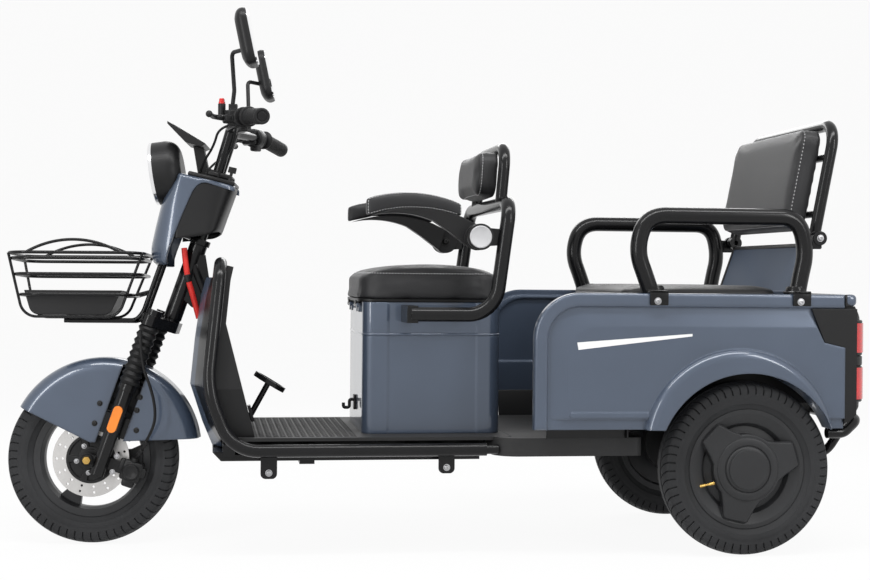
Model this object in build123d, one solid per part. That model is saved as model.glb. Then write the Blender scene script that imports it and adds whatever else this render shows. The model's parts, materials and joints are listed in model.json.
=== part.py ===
from build123d import *
import os

os.makedirs("parts", exist_ok=True)

# Electric tricycle with a driver's seat, a front basket and a rear passenger bench.
# Millimetres, +X forward, +Y to the rider's left, +Z up, ground at Z = 0.

# Running gear
front_axle_x = 813
rear_axle_x = -722
tyre_radius = 206
tyre_width = 80
tyre_shoulder = 7
tyre_height = 65
rear_track_half = 310
axle_pin_radius = 8
bearing_gap = 0.3
spring_half = 175
spring_rise = 40
spring_seat_z = 250
leaf_thick = 7.5
wing_angle = 43.5
spoke_angle = 298

# Steering: inclined axis through one point, turned to the right at rest
rake = 19
steer_x = 600
steer_z = 625
steer_rest = -7
leg_offset = 35
leg_half_track = 75
slider_radius = 18
stanchion_radius = 15
gaiter_radius = 25
gaiter_ribs = 9
head_radius = 22
steerer_radius = 14
head_bottom = -84
head_top = 108
crown_top = -90
crown_thickness = 26
gaiter_bottom = -264
slider_foot = 27.5

# Deck and frame
deck_top = 278
deck_plate = 8
deck_half_width = 258
deck_front_x = 492
rail_height = 36
rail_width = 30
rail_y = 150
rear_rail_top = 352
hoop_tube_radius = 15
hoop_gap = 2
hoop_drop = 28
hoop_rear_x = -108
shield_top_z = 681
shield_top_y = 185

# Driver's seat
box_front_x = 175
box_rear_x = -159
box_half_width = 180
box_top_z = 592
box_corner = 30
box_wall = 5
box_panel_depth = 2.5
seat_overhang = 7
seat_pan = 7
seat_thick = 82
seat_crown = 22
hinge_radius = 5.5
back_tube_radius = 17
back_tube_gap = 101
back_tube_z = 566
crossbar_z = 830
back_top_z = 969
arm_pivot_x = -87
arm_pivot_z = 748
arm_hub_radius = 31
arm_pin_radius = 9
pad_half_width = 20

# Rear body
body_front_x = -204
body_rear_x = -955
body_top_z = 620
body_bottom_z = 302
body_inner_y = 316
body_skin_y = 352
body_corner = 108
body_roll = 32
body_bevel = 9
arch_gap = 16
flare_lip = 29
tail_x = -1010
tail_corner = 46
tail_top_z = 592
tail_wall = 5
bench_front_x = -440
bench_top_z = 574
hoop_rail_radius = 20
hoop_rail_inset = 29
back_pivot_x = -906
back_pivot_z = 754
back_lean = 11
back_leg_radius = 14

# Front end
fender_gap = 24
fender_setback = 28
fender_lift = 15
fender_half_width = 61
fender_round = 34
fender_sheet = 3
basket_rear_x = 688
basket_front_x = 1012
basket_rim_z = 701
basket_half_width = 106
basket_wire = 4
fairing_half_width = 74
fairing_wall = 4
lamp_x = 676
lamp_z = 900
lamp_radius = 77
lamp_depth = 72
lamp_tilt = 8
bar_radius = 11
grip_radius = 19
disc_y = 38
disc_thick = 5

rim_radius = tyre_radius - tyre_height
hoop_y = deck_half_width + hoop_tube_radius + hoop_gap
hoop_z = deck_top - hoop_drop
seat_front_x = box_front_x + 13
seat_rear_x = box_rear_x - 8
seat_half_width = box_half_width + seat_overhang
seat_hinge_x = box_front_x + hinge_radius + 1
seat_hinge_z = box_top_z - hinge_radius - 3
back_tube_y = box_half_width + back_tube_gap
lug_inner_y = back_tube_y - 13
lug_outer_y = back_tube_y - 1
pad_y = back_tube_y - back_tube_radius - pad_half_width - 5
arch_x = rear_axle_x + 8
arch_z = tyre_radius + 6
arch_radius = tyre_radius + arch_gap
hoop_rail_y = body_skin_y - hoop_rail_inset
back_leg_y = hoop_rail_y - hoop_rail_radius - back_leg_radius - 6
fender_x = front_axle_x - fender_setback
fender_z = tyre_radius + fender_lift
fender_radius = tyre_radius + fender_gap
sides = (("left", 1), ("right", -1))
fork_frame = Pos(steer_x, 0, steer_z) * Rot(0, -rake, 0)
turn = fork_frame * Rot(0, 0, steer_rest) * fork_frame.inverse()


def block(x0, x1, y0, y1, z0, z1):
    """Box between two corners."""
    centre = Pos((x0 + x1) / 2, (y0 + y1) / 2, (z0 + z1) / 2)
    return centre * Box(x1 - x0, y1 - y0, z1 - z0)


def outline(points, radii):
    """Closed face with one corner radius per point."""
    return make_face(FilletPolyline(*points, radius=radii, close=True))


def side_prism(face, y0, y1):
    """Side view face (X across, Z up) extruded from y0 to y1."""
    side = Plane(origin=(0, y0, 0), x_dir=(1, 0, 0), z_dir=(0, -1, 0))
    return extrude(side * face, amount=y1 - y0, dir=(0, 1, 0))


def end_prism(face, x0, x1):
    """Front view face (Y across, Z up) extruded from x0 to x1."""
    front = Plane(origin=(x0, 0, 0), x_dir=(0, 1, 0), z_dir=(1, 0, 0))
    return extrude(front * face, amount=x1 - x0, dir=(1, 0, 0))


def plan_prism(face, z0, z1):
    """Plan view face (X along, Y across) extruded from z0 up to z1."""
    return extrude(Pos(0, 0, z0) * face, amount=z1 - z0, dir=(0, 0, 1))


def bar(start, end, radius):
    """Round bar between two points."""
    line = Line(start, end)
    return sweep(Plane(line @ 0, z_dir=line % 0) * Circle(radius), line)


def bent(points, radii, radius):
    """Round tube along straight runs joined by tangent bends."""
    path = FilletPolyline(*points, radius=radii)
    return sweep(Plane(path @ 0, z_dir=path % 0) * Circle(radius), path)


def across(x, z, y0, y1, radius):
    """Cylinder along Y."""
    return bar((x, y0, z), (x, y1, z), radius)


def pair(piece):
    """A piece and its mirror image on the other side."""
    return piece + mirror(piece, Plane.XZ)


def fork_point(x, y, z):
    """Point given along the steering axis, in the straight-ahead position."""
    spot = fork_frame * Pos(x, y, z)
    return spot.position


def save(name, piece, place=Pos(0, 0, 0)):
    """Write one piece to its own file."""
    export_step(place * piece, f"parts/{name}.step")


# Main frame: two side rails that kick up over the rear axle, cross members,
# a spine up to the head tube, gusset plates and four hanging lugs with bolt holes.
rail_bottom = deck_top - deck_plate - rail_height
rail_line = deck_top - deck_plate
kick = rear_rail_top - rail_line
rail_side = Polygon(
    (505, rail_line), (-425, rail_line), (-425 - kick, rear_rail_top), (-948, rear_rail_top),
    (-948, rear_rail_top - rail_height), (-440 - kick, rear_rail_top - rail_height),
    (-440, rail_bottom), (505, rail_bottom), align=None)
frame = pair(side_prism(rail_side, rail_y - rail_width / 2, rail_y + rail_width / 2))
cross_members = ((490, hoop_y - 30), (307, hoop_y - hoop_tube_radius), (60, hoop_y - hoop_tube_radius),
                 (-90, hoop_y - hoop_tube_radius))
for cross_x, reach in cross_members:
    frame += block(cross_x - 14, cross_x + 14, -reach, reach, rail_bottom, rail_line - 8)
for cross_x in (-520 - kick, -930):
    frame += block(cross_x - 15, cross_x + 15, -rail_y, rail_y, rear_rail_top - 30, rear_rail_top)
pan_bottom = rail_bottom - 15
belly = Polygon((528, rail_bottom + 6), (508, pan_bottom), (-104, pan_bottom), (-104, rail_bottom),
                (478, rail_bottom), (478, rail_bottom + 6), align=None)
belly_hole = Polygon((490, rail_bottom + 7), (490, pan_bottom + 4), (-100, pan_bottom + 4),
                     (-100, rail_bottom + 7), align=None)
frame += side_prism(belly, -205, 205) - side_prism(belly_hole, -201, 201)
frame += block(286, 322, -150, 150, pan_bottom - 15, pan_bottom)
spine = bent([(492, 0, rail_bottom + 5), (530, 0, 560), fork_point(0, 0, 62)], 60, 21)
gusset = Polygon((548, 702), (538, 640), (531, 560), (581, 574), (608, 600), (574, 700), align=None)
head = fork_frame * Pos(0, 0, head_bottom) * extrude(Circle(head_radius), amount=head_top - head_bottom)
frame += spine + side_prism(gusset, -19, 19) + head
lug_rows = (  # place, bottom
    (399, 184),
    (-16, 193),
)
for lug_x, lug_z in lug_rows:
    lug = outline([(lug_x - 19, hoop_z - 12), (lug_x + 19, hoop_z - 12), (lug_x + 19, lug_z),
                   (lug_x - 19, lug_z)], [0, 0, 12, 12])
    lug -= Pos(lug_x, lug_z + 14) * Circle(5.5)
    frame += pair(side_prism(lug, hoop_y - 18, hoop_y - 12))
    frame += block(lug_x - 12, lug_x + 12, -hoop_y + 18, hoop_y - 18, rail_bottom, rail_bottom + 14)
foot_tube = bent([(hoop_rear_x, hoop_y, hoop_z), (484, hoop_y, hoop_z), (541, hoop_y, 390),
                  (512, shield_top_y, shield_top_z), (512, -shield_top_y, shield_top_z),
                  (541, -hoop_y, 390), (484, -hoop_y, hoop_z), (hoop_rear_x, -hoop_y, hoop_z)],
                 [90, 200, 62, 62, 200, 90], hoop_tube_radius)
for hanger_x in (rear_axle_x - spring_half, rear_axle_x + spring_half):
    frame += pair(block(hanger_x - 14, hanger_x + 14, rail_y - 15, rail_y + 15,
                        spring_seat_z + spring_rise + leaf_thick, rear_rail_top - rail_height))
foot_tube += pair(bar((hoop_rear_x, hoop_y, hoop_z), (hoop_rear_x - 28, hoop_y, hoop_z),
                      hoop_tube_radius - 4))
frame -= foot_tube
bore = fork_frame * Pos(0, 0, head_bottom) * extrude(Circle(steerer_radius + 3),
                                                     amount=head_top - head_bottom)
frame -= bore
save("main_frame", frame)
save("footwell_hoop", foot_tube)

# Footboard: tread plate with turned-down edges, cut back round the spine.
deck = block(box_rear_x - 12, deck_front_x, -deck_half_width, deck_half_width, rail_line, deck_top)
deck = fillet(deck.edges().filter_by(Axis.Z), 18)
deck -= spine
save("floor_deck", deck)

# Leg shield: black inner cover with closed flanks, open to the front.
inner_side = Polygon((431, deck_top), (499, 540), (489, 640), (482, shield_top_z - 8),
                     (500, shield_top_z - 4), (526, 560), (530, 400), (500, deck_top), align=None)
inner_rows = (  # height, half width
    (deck_top, hoop_y - 40),
    (390, hoop_y - 29),
    (shield_top_z, shield_top_y - 24),
)
cut_left = [(half, height) for height, half in inner_rows]
cut_right = [(-half, height) for height, half in reversed(inner_rows)]
core_left = [(half - 4, height) for height, half in inner_rows]
core_right = [(-half + 4, height) for height, half in reversed(inner_rows)]
inner_solid = side_prism(inner_side, -hoop_y, hoop_y) & end_prism(Polygon(*cut_left, *cut_right,
                                                                          align=None), 350, 600)
inner_core = side_prism(Pos(6, -6) * inner_side, -hoop_y, hoop_y)
inner_core &= end_prism(Pos(0, -6) * Polygon(*core_left, *core_right, align=None), 350, 600)
inner = inner_solid - inner_core
inner -= spine + foot_tube
save("leg_shield_inner", inner)

# Leg shield: painted front shell of flat facets, swept back to the hoop.
shield_rows = (  # height, nose, nose half width, edge, edge half width
    (242, 528, 60, 500, 120),
    (300, 552, 70, 520, 205),
    (392, 582, 80, 545, 250),
    (500, 572, 66, 545, 226),
    (604, 558, 50, 534, 194),
    (shield_top_z - 34, 546, 46, 528, 170),
)
shield_faces = []
for height, nose, nose_y, edge, edge_y in shield_rows:
    ring = Polygon((edge - 30, edge_y), (edge, edge_y), (nose, nose_y), (nose, -nose_y), (edge, -edge_y),
                   (edge - 30, -edge_y), align=None)
    shield_faces.append(Pos(0, 0, height) * ring)
shield = loft(shield_faces, ruled=True)
shield -= Pos(-4, 0, 0) * shield
harness = bent([fork_point(30, 34, 88), (594, 42, 655), (576, 44, 598), (563, 40, 548)], [120, 120], 7)
shield -= foot_tube + frame + harness
save("leg_shield_front", shield)

# Battery and seat box.
box_length = box_front_x - box_rear_x
box_mid_x = (box_front_x + box_rear_x) / 2
box_height = box_top_z - deck_top
box_ring = Rectangle(box_length, 2 * box_half_width)
seat_box = extrude(Pos(box_mid_x, 0, deck_top) * fillet(box_ring.vertices(), box_corner), amount=box_height)
inside_ring = Rectangle(box_length - 2 * box_wall, 2 * box_half_width - 2 * box_wall)
seat_box -= extrude(Pos(box_mid_x, 0, deck_top + box_wall) * fillet(inside_ring.vertices(),
                                                                    box_corner - box_wall),
                    amount=box_height)
groove_ring = Rectangle(box_length + 2, 2 * box_half_width + 2)
groove = extrude(Pos(box_mid_x, 0, 512) * fillet(groove_ring.vertices(), box_corner + 1), amount=5)
core_ring = Rectangle(box_length - 3, 2 * box_half_width - 3)
groove -= extrude(Pos(box_mid_x, 0, 511) * fillet(core_ring.vertices(), box_corner - 1.5), amount=7)
flank_y = box_half_width - box_panel_depth
panel_cut = Polygon((118, box_half_width + 1), (118, box_half_width), (112, flank_y), (-97, flank_y),
                    (-103, box_half_width), (-103, box_half_width + 1), align=None)
seat_box -= groove + pair(plan_prism(panel_cut, deck_top - 1, box_top_z + 1))
save("battery", block(box_mid_x - 120, box_mid_x + 120, -110, 110, deck_top + box_wall,
                      deck_top + box_wall + 190))

# Driver's seat: pan with two hinge knuckles at the front and the padded cushion.
pan_z = box_top_z + 1
pan = block(seat_rear_x + 14, seat_front_x - 3, -seat_half_width + 12, seat_half_width - 12, pan_z,
            pan_z + seat_pan)
pan = fillet(pan.edges().filter_by(Axis.Z), 45)
knuckle_y = 90
for centre_y in (-knuckle_y, knuckle_y):
    pan += across(seat_hinge_x, seat_hinge_z, centre_y - 14, centre_y + 14, hinge_radius)
    pan += block(seat_hinge_x - hinge_radius, seat_hinge_x + hinge_radius, centre_y - 14, centre_y + 14,
                 seat_hinge_z, pan_z + 3)
    pan -= across(seat_hinge_x, seat_hinge_z, centre_y - 15, centre_y + 15, 3.3)
save("driver_seat_pan", pan)
cushion_z = pan_z + seat_pan
cushion_side = make_face([
    Line((seat_rear_x, cushion_z), (seat_front_x, cushion_z)),
    Line((seat_front_x, cushion_z), (seat_front_x, cushion_z + seat_thick - seat_crown)),
    ThreePointArc((seat_front_x, cushion_z + seat_thick - seat_crown),
                  ((seat_front_x + seat_rear_x) / 2, cushion_z + seat_thick),
                  (seat_rear_x, cushion_z + seat_thick - seat_crown)),
    Line((seat_rear_x, cushion_z + seat_thick - seat_crown), (seat_rear_x, cushion_z)),
])
cushion = side_prism(cushion_side, -seat_half_width, seat_half_width)
cushion = fillet(cushion.edges().filter_by(Axis.Z), 62)
cushion = fillet(cushion.faces().sort_by(Axis.Z)[-1].edges(), 16)
save("driver_seat_cushion", cushion)
hinge = block(box_front_x, box_front_x + 4, -knuckle_y - 40, knuckle_y + 40, seat_hinge_z - 16,
              seat_hinge_z - 9)
for centre_y in (-knuckle_y, knuckle_y):
    hinge += across(seat_hinge_x, seat_hinge_z, centre_y - 32, centre_y + 32, 3)
    for ear_y in (centre_y - 24, centre_y + 24):
        hinge += block(box_front_x, seat_hinge_x, ear_y - 7, ear_y + 7, seat_hinge_z - 16, seat_hinge_z - 2)
        hinge += across(seat_hinge_x, seat_hinge_z, ear_y - 7, ear_y + 7, hinge_radius)
save("seat_box", seat_box + hinge)

# Driver's back frame: bent tube bolted to the box flanks, an upper hoop and two armrest lugs.
lower_tube = bent([(74, back_tube_y, back_tube_z), (-124, back_tube_y, back_tube_z),
                   (-159, back_tube_y, crossbar_z), (-159, -back_tube_y, crossbar_z),
                   (-124, -back_tube_y, back_tube_z), (74, -back_tube_y, back_tube_z)], [72, 50, 50, 72],
                  back_tube_radius)
upper_hoop = bent([(-157, 170, crossbar_z), (-169, 170, back_top_z), (-169, -170, back_top_z),
                   (-157, -170, crossbar_z)], [52, 52], 14)
back_frame = lower_tube + upper_hoop
flank_plate = block(58, 84, flank_y, back_tube_y + 10, back_tube_z - 20, back_tube_z + 20)
flank_plate += block(-60, -34, flank_y, back_tube_y, back_tube_z - 12, back_tube_z + 12)
lug_plate = outline([(-154, arm_pivot_z + 18), (arm_pivot_x, arm_pivot_z + 23),
                     (arm_pivot_x + 23, arm_pivot_z), (arm_pivot_x, arm_pivot_z - 23),
                     (-150, arm_pivot_z - 18)], [0, 17, 17, 17, 0])
arm_lug = side_prism(lug_plate, lug_inner_y, lug_outer_y)
arm_lug -= across(arm_pivot_x, arm_pivot_z, lug_inner_y - 5, lug_outer_y + 5, arm_pin_radius + bearing_gap)
back_frame += pair(flank_plate + arm_lug)
save("driver_back_frame", back_frame)
pad = Pos(-127.8, 0, 906) * Rot(0, -4, 0) * Box(52, 296, 112)
pad = fillet(pad.edges().filter_by(Axis.Y, reverse=True).filter_by(GeomType.LINE)
             .filter_by(lambda e: e.length < 60), 36)
pad = fillet(pad.faces().sort_by(Axis.X)[-1].edges(), 14)
save("driver_backrest", pad)

# Armrests: a curved arm that swings on its lug and a padded top.
for name, s in sides:
    arm_side = make_face([
        Line((arm_pivot_x + 4, arm_pivot_z + arm_hub_radius), (-50, 795)),
        ThreePointArc((-50, 795), (60, 815), (166, 796)),
        ThreePointArc((166, 796), (90, 802), (20, 786)),
        Line((20, 786), (-18, 761)),
        Line((-18, 761), (arm_pivot_x + 20, arm_pivot_z - 24)),
        Line((arm_pivot_x + 20, arm_pivot_z - 24), (arm_pivot_x + 4, arm_pivot_z + arm_hub_radius)),
    ])
    arm = side_prism(arm_side, pad_y - 13, pad_y + 16)
    arm += across(arm_pivot_x, arm_pivot_z, pad_y + 4, lug_inner_y - 1, arm_hub_radius)
    arm += across(arm_pivot_x, arm_pivot_z, lug_inner_y - 2, lug_outer_y + 2, arm_pin_radius)
    arm += across(arm_pivot_x, arm_pivot_z, lug_outer_y + 1, lug_outer_y + 15, arm_hub_radius)
    pad_side = make_face([
        Line((-50, 795.3), (-50, 826)),
        ThreePointArc((-50, 826), (70, 853), (178, 836)),
        Line((178, 836), (178, 795.3)),
        ThreePointArc((178, 795.3), (64, 815.3), (-50, 795.3)),
    ])
    arm_pad = side_prism(pad_side, pad_y - pad_half_width, pad_y + pad_half_width)
    arm_pad = fillet(arm_pad.edges().filter_by(Axis.Z), 10)
    whole = (arm - arm_pad, arm_pad)
    if s < 0:
        whole = tuple(mirror(piece, Plane.XZ) for piece in whole)
    save(f"armrest_{name}", whole[0])
    save(f"armrest_{name}_pad", whole[1])

# Brake pedal on the floor and the bag hook on the seat box.
pedal_tilt = 31
pedal_y = 60
pedal = Pos(394, pedal_y, 389) * Rot(0, -pedal_tilt, 0) * (
    extrude(Circle(42), amount=12) - Pos(0, 0, 8) * extrude(Circle(33), amount=12))
pedal += bar((394, pedal_y, 392), (446, pedal_y, 296), 7) - inner_solid
pedal += Pos(436, pedal_y, 318) * Rot(0, 15, 0) * Box(8, 30, 40) - inner_solid
save("brake_pedal", pedal)
hook = bent([(box_front_x, 0, 346), (190, 0, 346), (190, 0, 326), (205, 0, 326), (205, 0, 338)], 5, 4)
hook += block(box_front_x, box_front_x + 5, -13, 13, 322, 358)
save("bag_hook", hook)

# Rear floor: step tray with rounded front corners and hollow underside.
tray_front_x = -124
tray_rear_x = -478
tray_half = 300
tray_bottom = 235
tray_wall = 5
tray_plan = outline([(tray_front_x, tray_half), (tray_rear_x, tray_half), (tray_rear_x, -tray_half),
                     (tray_front_x, -tray_half)], [62, 14, 14, 62])
tray_hole = outline([(tray_front_x - tray_wall, tray_half - tray_wall),
                     (tray_rear_x + tray_wall, tray_half - tray_wall),
                     (tray_rear_x + tray_wall, -tray_half + tray_wall),
                     (tray_front_x - tray_wall, -tray_half + tray_wall)], [57, 9, 9, 57])
tray = plan_prism(tray_plan, tray_bottom, deck_top)
tray -= plan_prism(tray_hole, tray_bottom - 5, rail_line)
tray -= block(box_rear_x - 13, tray_front_x + 20, -deck_half_width - 1, deck_half_width + 1, rail_line - 1,
              deck_top + 20)
tray -= frame + foot_tube
save("rear_floor", tray)

# Rear side panels: slab, raised rim and inset skin with a wheel arch and a flared lip.
flare_x = arch_x + 19
flare_z = arch_z + 46
flare_radius = arch_radius + 10
flare_y = body_skin_y + flare_lip


def body_outline(inset, rear):
    """Outline of the side panel, set back from the front and top edges."""
    return outline([(body_front_x - inset, body_bottom_z), (body_front_x - inset, body_top_z - inset),
                    (rear, body_top_z - inset), (rear, body_bottom_z)], [0, body_corner - inset, 0, 0])


def skin_outline(inset, low):
    """Outline of the inset skin, ending at the edge of the tail quarter."""
    lean = inset * 0.48
    return outline([(body_front_x - body_roll - 6 - inset, low),
                    (body_front_x - body_roll - 6 - inset, body_top_z - body_roll - 6 - inset),
                    (-866 - lean, body_top_z - body_roll - 6 - inset), (-903, 506), (body_rear_x, 494),
                    (body_rear_x, low)], [8, body_corner - body_roll - 6, 0, 0, 0, 0])


body_ring = body_outline(0, body_rear_x)
roll_ring = body_ring - Pos(0, -1) * body_outline(body_roll, body_rear_x - 1)
arch = Pos(arch_x, arch_z) * Circle(arch_radius)
flare = Pos(flare_x, flare_z) * Circle(flare_radius)
below = Pos(arch_x, body_bottom_z - 300) * Rectangle(900, 600)
skin_side = Plane(origin=(0, body_skin_y, 0), x_dir=(1, 0, 0), z_dir=(0, -1, 0))
field_side = Plane(origin=(0, body_skin_y + body_bevel, 0), x_dir=(1, 0, 0), z_dir=(0, -1, 0))
pocket = outline([(-238, 424), (-238, 596), (bench_front_x + 12, 596), (bench_front_x + 12, 424)],
                 [0, 80, 0, 0])
ridge = outline([(-287, 330), (-287, 343), (-476, 343), (-476, 330)], [6, 6, 6, 6])
for name, s in sides:
    panel = side_prism(body_outline(16, body_rear_x), body_inner_y, body_skin_y)
    roll = side_prism(roll_ring, body_skin_y - 14, body_skin_y + 10)
    roll = fillet(roll.faces().sort_by(Axis.Y)[-1].edges(), 8)
    panel += roll + loft([skin_side * skin_outline(0, 326), field_side * skin_outline(40, 326)], ruled=True)
    panel += side_prism(ridge, body_skin_y, body_skin_y + body_bevel + 3)
    lip = side_prism(flare - below, body_skin_y, flare_y)
    lip = fillet(lip.edges().filter_by(GeomType.CIRCLE).sort_by(Axis.Y)[-1], 20)
    panel += lip
    panel -= side_prism(arch, body_inner_y - 5, flare_y + 5)
    panel -= side_prism(pocket, body_inner_y - 1, body_inner_y + 9)
    if s < 0:
        panel = mirror(panel, Plane.XZ)
    save(f"rear_side_{name}", panel)

# Rear tail: black wrapped rear wall with cheeks over the side panels, open inside.
tail_half_width = body_skin_y


def tail_outline(inset):
    """Plan of the tail, set in from its outer wall."""
    half = tail_half_width - inset
    return outline([(body_rear_x, half), (tail_x + inset, half), (tail_x + inset, -half),
                    (body_rear_x, -half)], [0, tail_corner - inset, tail_corner - inset, 0])


tail_side = Polygon((body_rear_x, 316), (-964, 316), (tail_x + 8, 352), (tail_x, 390), (tail_x, 556),
                    (tail_x + 26, tail_top_z), (body_rear_x, tail_top_z), align=None)
cheek_side = Polygon((body_rear_x, 316), (-964, 316), (-985, 335), (-985, tail_top_z - 6),
                     (-872, tail_top_z - 6), (-905, 506), (body_rear_x, 494), align=None)
tail = plan_prism(tail_outline(0), 310, tail_top_z) & side_prism(tail_side, -500, 500)
tail -= plan_prism(tail_outline(tail_wall), 300, tail_top_z - 2)
tail += pair(side_prism(cheek_side, tail_half_width, tail_half_width + 7))
cap_x = tail_x + 27
cap_half = tail_half_width + 8
cap_plan = outline([(body_rear_x, cap_half), (cap_x, cap_half), (cap_x, -cap_half),
                    (body_rear_x, -cap_half)], [0, 24, 24, 0])
cap = plan_prism(cap_plan, tail_top_z, body_top_z)
tail += fillet(cap.faces().sort_by(Axis.Z)[-1].edges().sort_by(Axis.X)[:-1], 9)
save("rear_tail", tail)
lamps = []
lamp_rows = (  # bottom, top, how far it stands out
    (371, 446, 9),
    (453, 471, 6),
    (482, 552, 9),
)
for low, high, proud in lamp_rows:
    ring = tail_outline(-proud) - tail_outline(0)
    lamp = plan_prism(ring, low, high) & block(tail_x - 20, tail_x + 24, 236, 400, low, high)
    lamps.append(lamp)
    lamps.append(mirror(lamp, Plane.XZ))
save("tail_lamps", Compound(children=lamps))

# Bench: hollow box over the axle and between the wheels.
wheel_box_z = arch_z + arch_radius + 10
bench_inner_y = rear_track_half - tyre_width / 2 - 38
bench_end = Polygon((bench_inner_y, rear_rail_top), (bench_inner_y, wheel_box_z),
                    (body_inner_y, wheel_box_z), (body_inner_y, bench_top_z), (-body_inner_y, bench_top_z),
                    (-body_inner_y, wheel_box_z), (-bench_inner_y, wheel_box_z),
                    (-bench_inner_y, rear_rail_top), align=None)
bench_hole = Polygon((bench_inner_y - 4, rear_rail_top - 1), (bench_inner_y - 4, wheel_box_z + 4),
                     (body_inner_y - 4, wheel_box_z + 4), (body_inner_y - 4, bench_top_z - 4),
                     (-body_inner_y + 4, bench_top_z - 4), (-body_inner_y + 4, wheel_box_z + 4),
                     (-bench_inner_y + 4, wheel_box_z + 4), (-bench_inner_y + 4, rear_rail_top - 1),
                     align=None)
bench = end_prism(bench_end, body_rear_x, bench_front_x)
bench -= end_prism(bench_hole, body_rear_x + 4, bench_front_x - 4)
toe_board = block(bench_front_x, bench_front_x + 4, -body_inner_y, body_inner_y, rail_line + deck_plate,
                  bench_top_z)
save("rear_bench", bench + toe_board - frame)
rear_cushion = block(-836, -432, -body_inner_y + 40, body_inner_y - 40, bench_top_z, bench_top_z + 62)
rear_cushion = fillet(rear_cushion.edges().filter_by(Axis.Z), 50)
rear_cushion = fillet(rear_cushion.faces().sort_by(Axis.Z)[-1].edges(), 16)
save("rear_seat", rear_cushion)

# Passenger hoops with clamps at the feet and lugs for the folding backrest.
hoop_points = (  # along, up
    (-502, body_top_z - 30),
    (-459, 738),
    (-517, 796),
    (-827, 796),
    (-886, 738),
    (-848, body_top_z - 30),
)
rail_hoop = bent([(along, hoop_rail_y, up) for along, up in hoop_points], [46, 50, 50, 46],
                 hoop_rail_radius)
ear = outline([(-866, 752), (back_pivot_x, back_pivot_z + 17), (back_pivot_x - 17, back_pivot_z),
               (back_pivot_x, back_pivot_z - 17), (-866, 722)], [0, 14, 14, 14, 0])
rail_hoop += side_prism(ear, hoop_rail_y - 12, hoop_rail_y - 2)
rail_hoop += across(back_pivot_x, back_pivot_z, back_leg_y - 6, hoop_rail_y - 6, 6)
for foot_x in (-497, -845):
    clamp = block(foot_x - 22, foot_x + 22, body_skin_y + 10, body_skin_y + 16, body_top_z - 28,
                  body_top_z + 7)
    clamp += block(foot_x - 22, foot_x + 22, hoop_rail_y - 24, body_skin_y + 16, body_top_z, body_top_z + 7)
    rail_hoop += clamp
panel_void = side_prism(body_ring, body_inner_y, body_skin_y + 10)
rail_hoop -= panel_void + rear_cushion
save("rear_hoop_left", rail_hoop)
save("rear_hoop_right", mirror(rail_hoop, Plane.XZ))

# Folding passenger backrest: bent frame on two pins and its cushion.
lean_frame = Pos(back_pivot_x, 0, back_pivot_z) * Rot(0, -back_lean, 0)
leg_top = 284
fold_frame = bent([(0, back_leg_y, 0), (0, back_leg_y, leg_top), (0, -back_leg_y, leg_top),
                   (0, -back_leg_y, 0)], [62, 62], back_leg_radius)
for centre_y in (back_leg_y, -back_leg_y):
    fold_frame += across(0, 0, centre_y - 13, centre_y + 13, 17)
slat_x = back_leg_radius - 9
for slat_z in (60, 200):
    fold_frame += bar((slat_x, -back_leg_y + 6, slat_z), (slat_x, back_leg_y - 6, slat_z), 9)
fold_frame -= across(0, 0, -back_leg_y - 40, back_leg_y + 40, 6 + bearing_gap)
save("rear_back_frame", fold_frame, lean_frame)
fold_pad = Pos(back_leg_radius + bearing_gap + 25, 0, 142) * Box(50, 2 * back_leg_y - 62, 258)
fold_pad = fillet(fold_pad.edges().filter_by(Axis.X), 40)
fold_pad = fillet(fold_pad.faces().sort_by(Axis.X)[-1].edges(), 14)
save("rear_back_cushion", fold_pad, lean_frame)
panel_lean = back_lean + 8.5
back_panel = Pos(-881, 0, 681) * Rot(0, -panel_lean, 0) * Box(10, 2 * back_leg_y - 42, 128)
back_panel = fillet(back_panel.edges().filter_by(GeomType.LINE).filter_by(lambda e: e.length < 11), 4)
stand = block(-880, -850, -250, 250, bench_top_z, 626)
save("rear_back_panel", back_panel + stand)

# Rear bumper: two bent bars.
bumper_radius = 13
bumper_z = body_bottom_z - bumper_radius - bearing_gap
bumper_x = rear_axle_x - tyre_radius + 2
bumper_rise = min(bumper_x - 42, body_rear_x - 13)
bumper_end = bumper_rise - 46
bumper = bent([(bumper_x, 322, bumper_z), (bumper_rise, 322, bumper_z), (bumper_end, 296, 318),
               (bumper_end, -296, 318), (bumper_rise, -322, bumper_z), (bumper_x, -322, bumper_z)],
              [36, 36, 36, 36], bumper_radius)
lower_bar = bent([(bumper_end + 6, 255, 316), (bumper_rise + 16, 255, 232), (bumper_rise + 16, -255, 232),
                  (bumper_end + 6, -255, 316)], [30, 30], 11)
bumper += lower_bar
save("rear_bumper", bumper)

# Rear axle with motor and drums, leaf springs, wheels.
drum_y = 232
axle = across(rear_axle_x, tyre_radius, -drum_y, drum_y, 30)
axle += across(rear_axle_x, tyre_radius, -60, 110, 78)
for s in (1, -1):
    axle += across(rear_axle_x, tyre_radius, s * drum_y, s * (drum_y + 30), 80)
    axle += across(rear_axle_x, tyre_radius, s * drum_y, s * (rear_track_half + 30), axle_pin_radius)
    axle += block(rear_axle_x - 35, rear_axle_x + 35, s * rail_y - 22, s * rail_y + 22, tyre_radius,
                  spring_seat_z)
springs = [axle]
for s in (1, -1):
    for leaf, half in enumerate((spring_half, spring_half - 45, spring_half - 90)):
        rise = spring_rise * (half / spring_half) ** 2
        low = spring_seat_z + (leaf_thick + 0.5) * leaf
        top = low + leaf_thick
        arc = make_face([ThreePointArc((rear_axle_x - half, low + rise), (rear_axle_x, low),
                                       (rear_axle_x + half, low + rise)),
                         Line((rear_axle_x + half, low + rise), (rear_axle_x + half, top + rise)),
                         ThreePointArc((rear_axle_x + half, top + rise), (rear_axle_x, top),
                                       (rear_axle_x - half, top + rise)),
                         Line((rear_axle_x - half, top + rise), (rear_axle_x - half, low + rise)), ])
        springs.append(side_prism(arc, s * rail_y - 20, s * rail_y + 20))
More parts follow.
